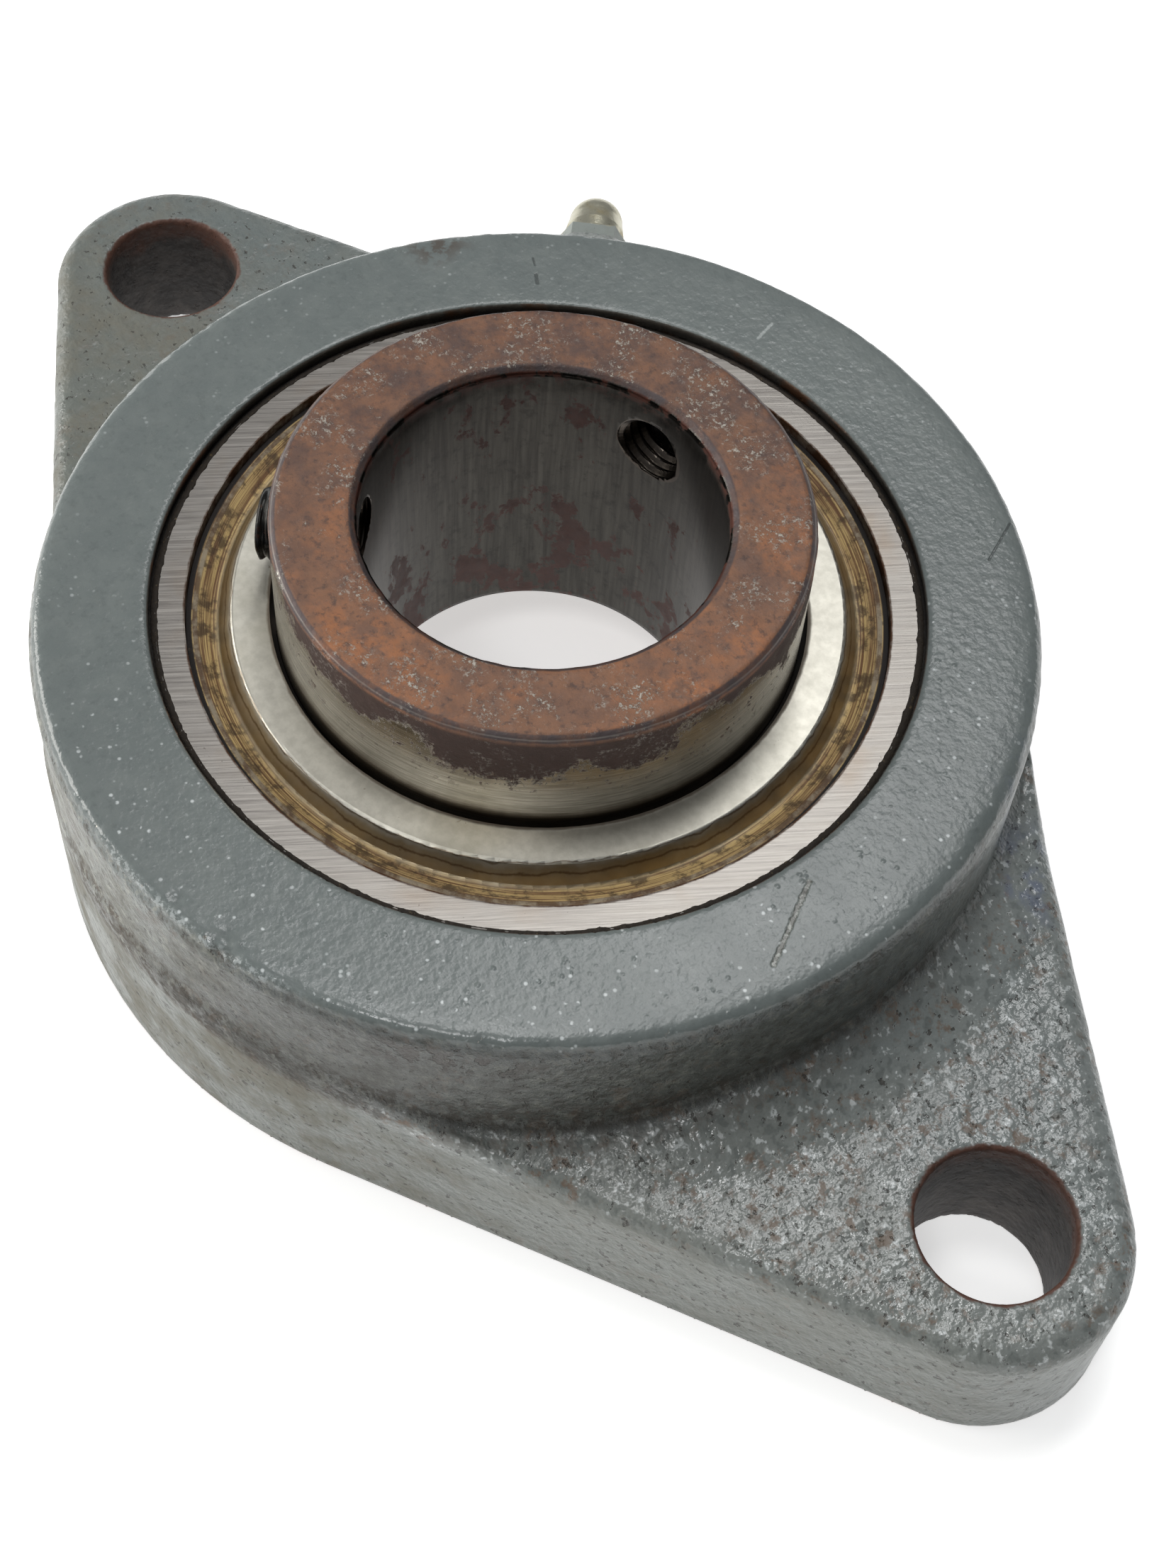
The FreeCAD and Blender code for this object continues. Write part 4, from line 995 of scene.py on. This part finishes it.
def dense(corners, spacing):
    """Points along a closed outline, at most a spacing apart."""
    result = []
    for (r0, z0), (r1, z1) in zip(corners, corners[1:] + corners[:1]):
        count = max(1, math.ceil(math.hypot(r1 - r0, z1 - z0) / spacing))
        result += [(r0 + (r1 - r0) * i / count, z0 + (z1 - z0) * i / count) for i in range(count)]
    return result


def thread_rings(start, end, crest, depth):
    """Rings of points of a threaded rod along X, from start to end."""
    rows = max(2, round((end - start) / THREAD_PITCH * THREAD_ROWS))
    rings = []
    for row in range(rows + 1):
        along = start + (end - start) * row / rows
        ring = []
        for index, angle in enumerate(THREAD_ANGLES):
            phase = (along / THREAD_PITCH - index / len(THREAD_ANGLES)) % 1.0
            flank = min(1.0, max(0.0, abs(phase - 0.5) * FLANK_SLOPE - CREST_FLAT))
            radius = crest - depth * flank
            ring.append((along, radius * math.cos(angle), radius * math.sin(angle)))
        rings.append(ring)
    return rings


def rod_mesh(rings):
    """Points and faces of a rod through rings of equal count, closed at both ends."""
    count = len(rings[0])
    vertices = [point for ring in rings for point in ring]
    faces = []
    for row in range(len(rings) - 1):
        here = row * count
        there = here + count
        for i in range(count):
            j = (i + 1) % count
            faces.append((here + i, here + j, there + j, there + i))
    faces.append(tuple(reversed(range(count))))
    faces.append(tuple(range(len(vertices) - count, len(vertices))))
    return vertices, faces


def turned_out(vertices, azimuth):
    """Points along X turned to a screw's azimuth and raised to its height."""
    turn = np.array(Matrix.Rotation(math.radians(azimuth), 3, "Z"))
    return np.asarray(vertices) @ turn.T + np.array((0, 0, SCREW_HEIGHT))


def circle_ring(along, radius):
    return [(along, radius * math.cos(a), radius * math.sin(a)) for a in THREAD_ANGLES]


def hex_ring(along, radius):
    """Points of a hexagon's outline across X, as many as a circle's."""
    ring = []
    for angle in THREAD_ANGLES:
        sector = (angle + math.pi / 6) % (math.pi / 3) - math.pi / 6
        outwards = radius / math.cos(sector)
        ring.append((along, outwards * math.cos(angle), outwards * math.sin(angle)))
    return ring


# Inner ring, set screws and dirt

def ring_corners():
    """Outline of the inner ring as (radius, height), with its ball groove."""
    corners = [
        (BORE_RADIUS, RING_BOTTOM + RING_CHAMFER_IN),
        (BORE_RADIUS + RING_CHAMFER_IN, RING_BOTTOM),
        (RING_RADIUS - RING_CHAMFER_OUT, RING_BOTTOM),
        (RING_RADIUS, RING_BOTTOM + RING_CHAMFER_OUT),
    ]
    half = math.sqrt(GROOVE_RADIUS ** 2 - (GROOVE_RADIUS - (RING_RADIUS - RACE_RADIUS)) ** 2)
    for index in range(GROOVE_STEPS + 1):
        z = -half + 2 * half * index / GROOVE_STEPS
        radius = RACE_RADIUS + GROOVE_RADIUS - math.sqrt(GROOVE_RADIUS ** 2 - z ** 2)
        corners.append((radius, BALL_PLANE + z))
    return corners + [
        (RING_RADIUS, RING_TOP - RING_CHAMFER_OUT),
        (RING_RADIUS - RING_CHAMFER_OUT, RING_TOP),
        (BORE_RADIUS + RING_CHAMFER_IN, RING_TOP),
        (BORE_RADIUS, RING_TOP - RING_CHAMFER_IN),
    ]


def eat_by_rust(piece):
    """Push the front of the inner ring in, as rust has eaten it."""
    points = rows_of(piece) / MM
    normals = rows_of(piece, "normal")
    rusty = step(points[:, 2], RING_TOP - 3.2, RING_TOP - 1.2)
    eaten = 0.05 + 0.05 * fractal(points, 1.6, 3, 5.5)
    points -= normals * (rusty * np.clip(eaten, 0, 0.12))[:, None]
    put_points(piece, points * MM)


def cut_thread(piece, azimuth):
    """Cut a threaded hole from the bore to the outside."""
    rings = thread_rings(BORE_RADIUS - 2.5, RING_RADIUS + 2, SCREW_HOLE_RADIUS, THREAD_DEPTH)
    vertices, faces = rod_mesh(rings)
    cutter = linked("cutter", mesh_from("cutter", turned_out(vertices, azimuth), faces))
    face_outward(cutter)
    cut = piece.modifiers.new("Cut", "BOOLEAN")
    cut.operation = "DIFFERENCE"
    cut.solver = "EXACT"
    cut.object = cutter
    bake_modifiers(piece)
    bpy.data.objects.remove(cutter)


def make_inner_ring(material):
    """The wide inner ring with threaded holes and a skin eaten by rust."""
    turns = round(2 * math.pi * RING_RADIUS / RING_SPACING)
    vertices, faces = lathe(dense(ring_corners(), RING_SPACING), turns)
    piece = new_piece("inner_ring_rusted", vertices, faces, "inner_ring", material)
    face_outward(piece)
    eat_by_rust(piece)
    for azimuth in SCREW_AZIMUTHS.values():
        cut_thread(piece, azimuth)
    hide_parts("inner_ring")


def screw_rings():
    """Rings of a set screw along X, from the cup point to the bottom of the hexagon socket."""
    outer_end = RING_RADIUS + SCREW_STANDS_OUT
    inner_end = outer_end - SCREW_LENGTH
    crest = SCREW_HOLE_RADIUS - SCREW_PLAY
    thread_start = inner_end + SCREW_POINT_LENGTH
    thread_end = outer_end - SCREW_EDGE
    socket_bottom = outer_end - SOCKET_DEPTH
    return [
        circle_ring(inner_end + CUP_DEPTH, 0.05),
        circle_ring(inner_end + CUP_DEPTH * 0.8, CUP_RADIUS * 0.5),
        circle_ring(inner_end, CUP_RADIUS),
        circle_ring(inner_end, SCREW_POINT_RADIUS),
        *thread_rings(thread_start, thread_end, crest, THREAD_DEPTH - 0.06),
        circle_ring(outer_end, crest - SCREW_EDGE - 0.2),
        hex_ring(outer_end, SOCKET_RADIUS + 0.12),
        hex_ring(outer_end - 0.15, SOCKET_RADIUS),
        hex_ring(socket_bottom, SOCKET_RADIUS),
        circle_ring(socket_bottom - 0.4, 0.3),
    ]


def make_set_screw(node, azimuth, material):
    """A threaded set screw with a hexagon socket and a cup point."""
    vertices, faces = rod_mesh(screw_rings())
    points = turned_out(vertices, azimuth)
    piece = new_piece(f"{node}_threaded", points, faces, node, material)
    face_outward(piece)
    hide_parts(node)


def grime_section(angle):
    """Section of the dirt at an angle, as (radius, height) points."""
    place = Vector((math.cos(angle) * 34, math.sin(angle) * 34, 0))
    fibres = noise.fractal(place / 0.9, 0.7, 2.2, 4)
    broad = 0.5 + 0.5 * noise.noise(place / 9)
    rise = max(0.02, 0.10 + 0.16 * fibres + 0.12 * broad)
    inward = 0.08 + 0.18 * max(0.0, fibres)
    return [
        (GRIME_INNER - inward, INSERT_TOP - 0.02),
        (GRIME_INNER + 0.05, INSERT_TOP + rise * 0.5),
        (GRIME_INNER + 0.45, INSERT_TOP - 0.25 + rise * 0.6),
        (GRIME_OUTER, INSERT_TOP - 0.95),
        (GRIME_OUTER - 0.35, INSERT_TOP - 0.85),
        (GRIME_INNER + 0.1, INSERT_TOP - 0.3),
    ]


def make_edge_grime(material):
    """Ragged dirt on the insert's edge, in the gap at the housing's mouth."""
    vertices = []
    for index in range(GRIME_TURNS):
        angle = 2 * math.pi * index / GRIME_TURNS
        section = grime_section(angle)
        vertices += [(r * math.cos(angle), r * math.sin(angle), z) for r, z in section]
    faces = loop_faces(len(section), GRIME_TURNS)
    piece = new_piece("edge_grime", vertices, faces, "insert", material)
    face_outward(piece)


# The unit

def finish_cad(node, material):
    data = nodes[node].data
    data.materials.clear()
    data.materials.append(material)


balls = [node for node in nodes if node.startswith("ball_")]
CAD_FINISHES = (
    (nipple_finish(), ("grease_nipple",)),
    (bright_finish(), ("nipple_check_ball", "nipple_spring", *balls)),
    (ground_finish(), ("outer_ring",)),
    (shield_finish(), ("front_shield", "back_shield")),
    (rubber_finish(), ("front_seal", "back_seal")),
    (cage_finish(), ("cage_front", "cage_back", "cage_rivets")),
)
for material, names in CAD_FINISHES:
    for node in names:
        finish_cad(node, material)

make_casting(paint_finish())
make_inner_ring(rusty_ring_finish())
screw_black = screw_finish()
for node, azimuth in SCREW_AZIMUTHS.items():
    make_set_screw(node, azimuth, screw_black)
make_edge_grime(grime_finish())


# Studio: floor, world, lights and camera

def make_floor():
    bpy.ops.mesh.primitive_plane_add(size=FLOOR_SIZE, location=(0, 0, -FLOOR_DROP))
    floor = bpy.context.object
    floor.name = "floor"
    f = Finish("floor")
    pale = f.mix(f.noise(60, 3), "f1f1f0", "f4f4f3")
    glow = {"Emission Color": (*WHITE, 1.0), "Emission Strength": FLOOR_GLOW}
    floor.data.materials.append(f.finish(pale, FLOOR_ROUGHNESS, **glow))


def make_world():
    """Soft light from all round, stronger from -X."""
    world = bpy.data.worlds.new("studio")
    world.use_nodes = True
    tree = world.node_tree
    shade = tree.nodes["Background"]
    place = tree.nodes.new("ShaderNodeTexCoord")
    split = tree.nodes.new("ShaderNodeSeparateXYZ")
    fade = tree.nodes.new("ShaderNodeMapRange")
    for name, value in WORLD_FADE.items():
        fade.inputs[name].default_value = value
    tree.links.new(place.outputs["Generated"], split.inputs[0])
    tree.links.new(split.outputs["X"], fade.inputs["Value"])
    tree.links.new(fade.outputs[0], shade.inputs["Strength"])
    shade.inputs["Color"].default_value = WORLD_COLOUR
    bpy.context.scene.world = world
    bpy.context.scene.view_settings.view_transform = "Standard"


def add_light(name, place, size, power, tint):
    """A soft box that looks at the unit's middle."""
    data = bpy.data.lights.new(name, "AREA")
    data.shape = "RECTANGLE"
    data.size, data.size_y = size
    data.energy = power
    data.color = tint
    light = bpy.data.objects.new(name, data)
    light.location = place
    aim = Vector((0, 0, BALL_PLANE * MM)) - Vector(place)
    light.rotation_mode = "QUATERNION"
    light.rotation_quaternion = aim.to_track_quat("-Z", "Y")
    bpy.context.scene.collection.objects.link(light)


def make_camera():
    back = Vector((
        math.sin(CAMERA_AZIMUTH) * math.cos(CAMERA_ELEVATION),
        -math.cos(CAMERA_AZIMUTH) * math.cos(CAMERA_ELEVATION),
        math.sin(CAMERA_ELEVATION),
    ))
    right = Vector((math.cos(CAMERA_AZIMUTH), math.sin(CAMERA_AZIMUTH), 0))
    up = back.cross(right)
    right, up = (
        right * math.cos(CAMERA_ROLL) + up * math.sin(CAMERA_ROLL),
        up * math.cos(CAMERA_ROLL) - right * math.sin(CAMERA_ROLL),
    )
    data = bpy.data.cameras.new("camera")
    data.sensor_width = SENSOR
    data.lens = SENSOR * FOCAL_PIXELS / PHOTO_HEIGHT
    data.shift_x = (PHOTO_WIDTH / 2 - MIDDLE_X) / PHOTO_HEIGHT
    data.shift_y = (MIDDLE_Y - PHOTO_HEIGHT / 2) / PHOTO_HEIGHT
    data.clip_start, data.clip_end = CLIP_METRES
    camera = bpy.data.objects.new("camera", data)
    camera.matrix_world = Matrix((
        (right.x, up.x, back.x, CAMERA_PLACE.x * MM),
        (right.y, up.y, back.y, CAMERA_PLACE.y * MM),
        (right.z, up.z, back.z, CAMERA_PLACE.z * MM),
        (0, 0, 0, 1),
    ))
    bpy.context.scene.collection.objects.link(camera)
    bpy.context.scene.camera = camera


make_floor()
make_world()
for name, settings in LIGHTS.items():
    add_light(name, *settings)
make_camera()
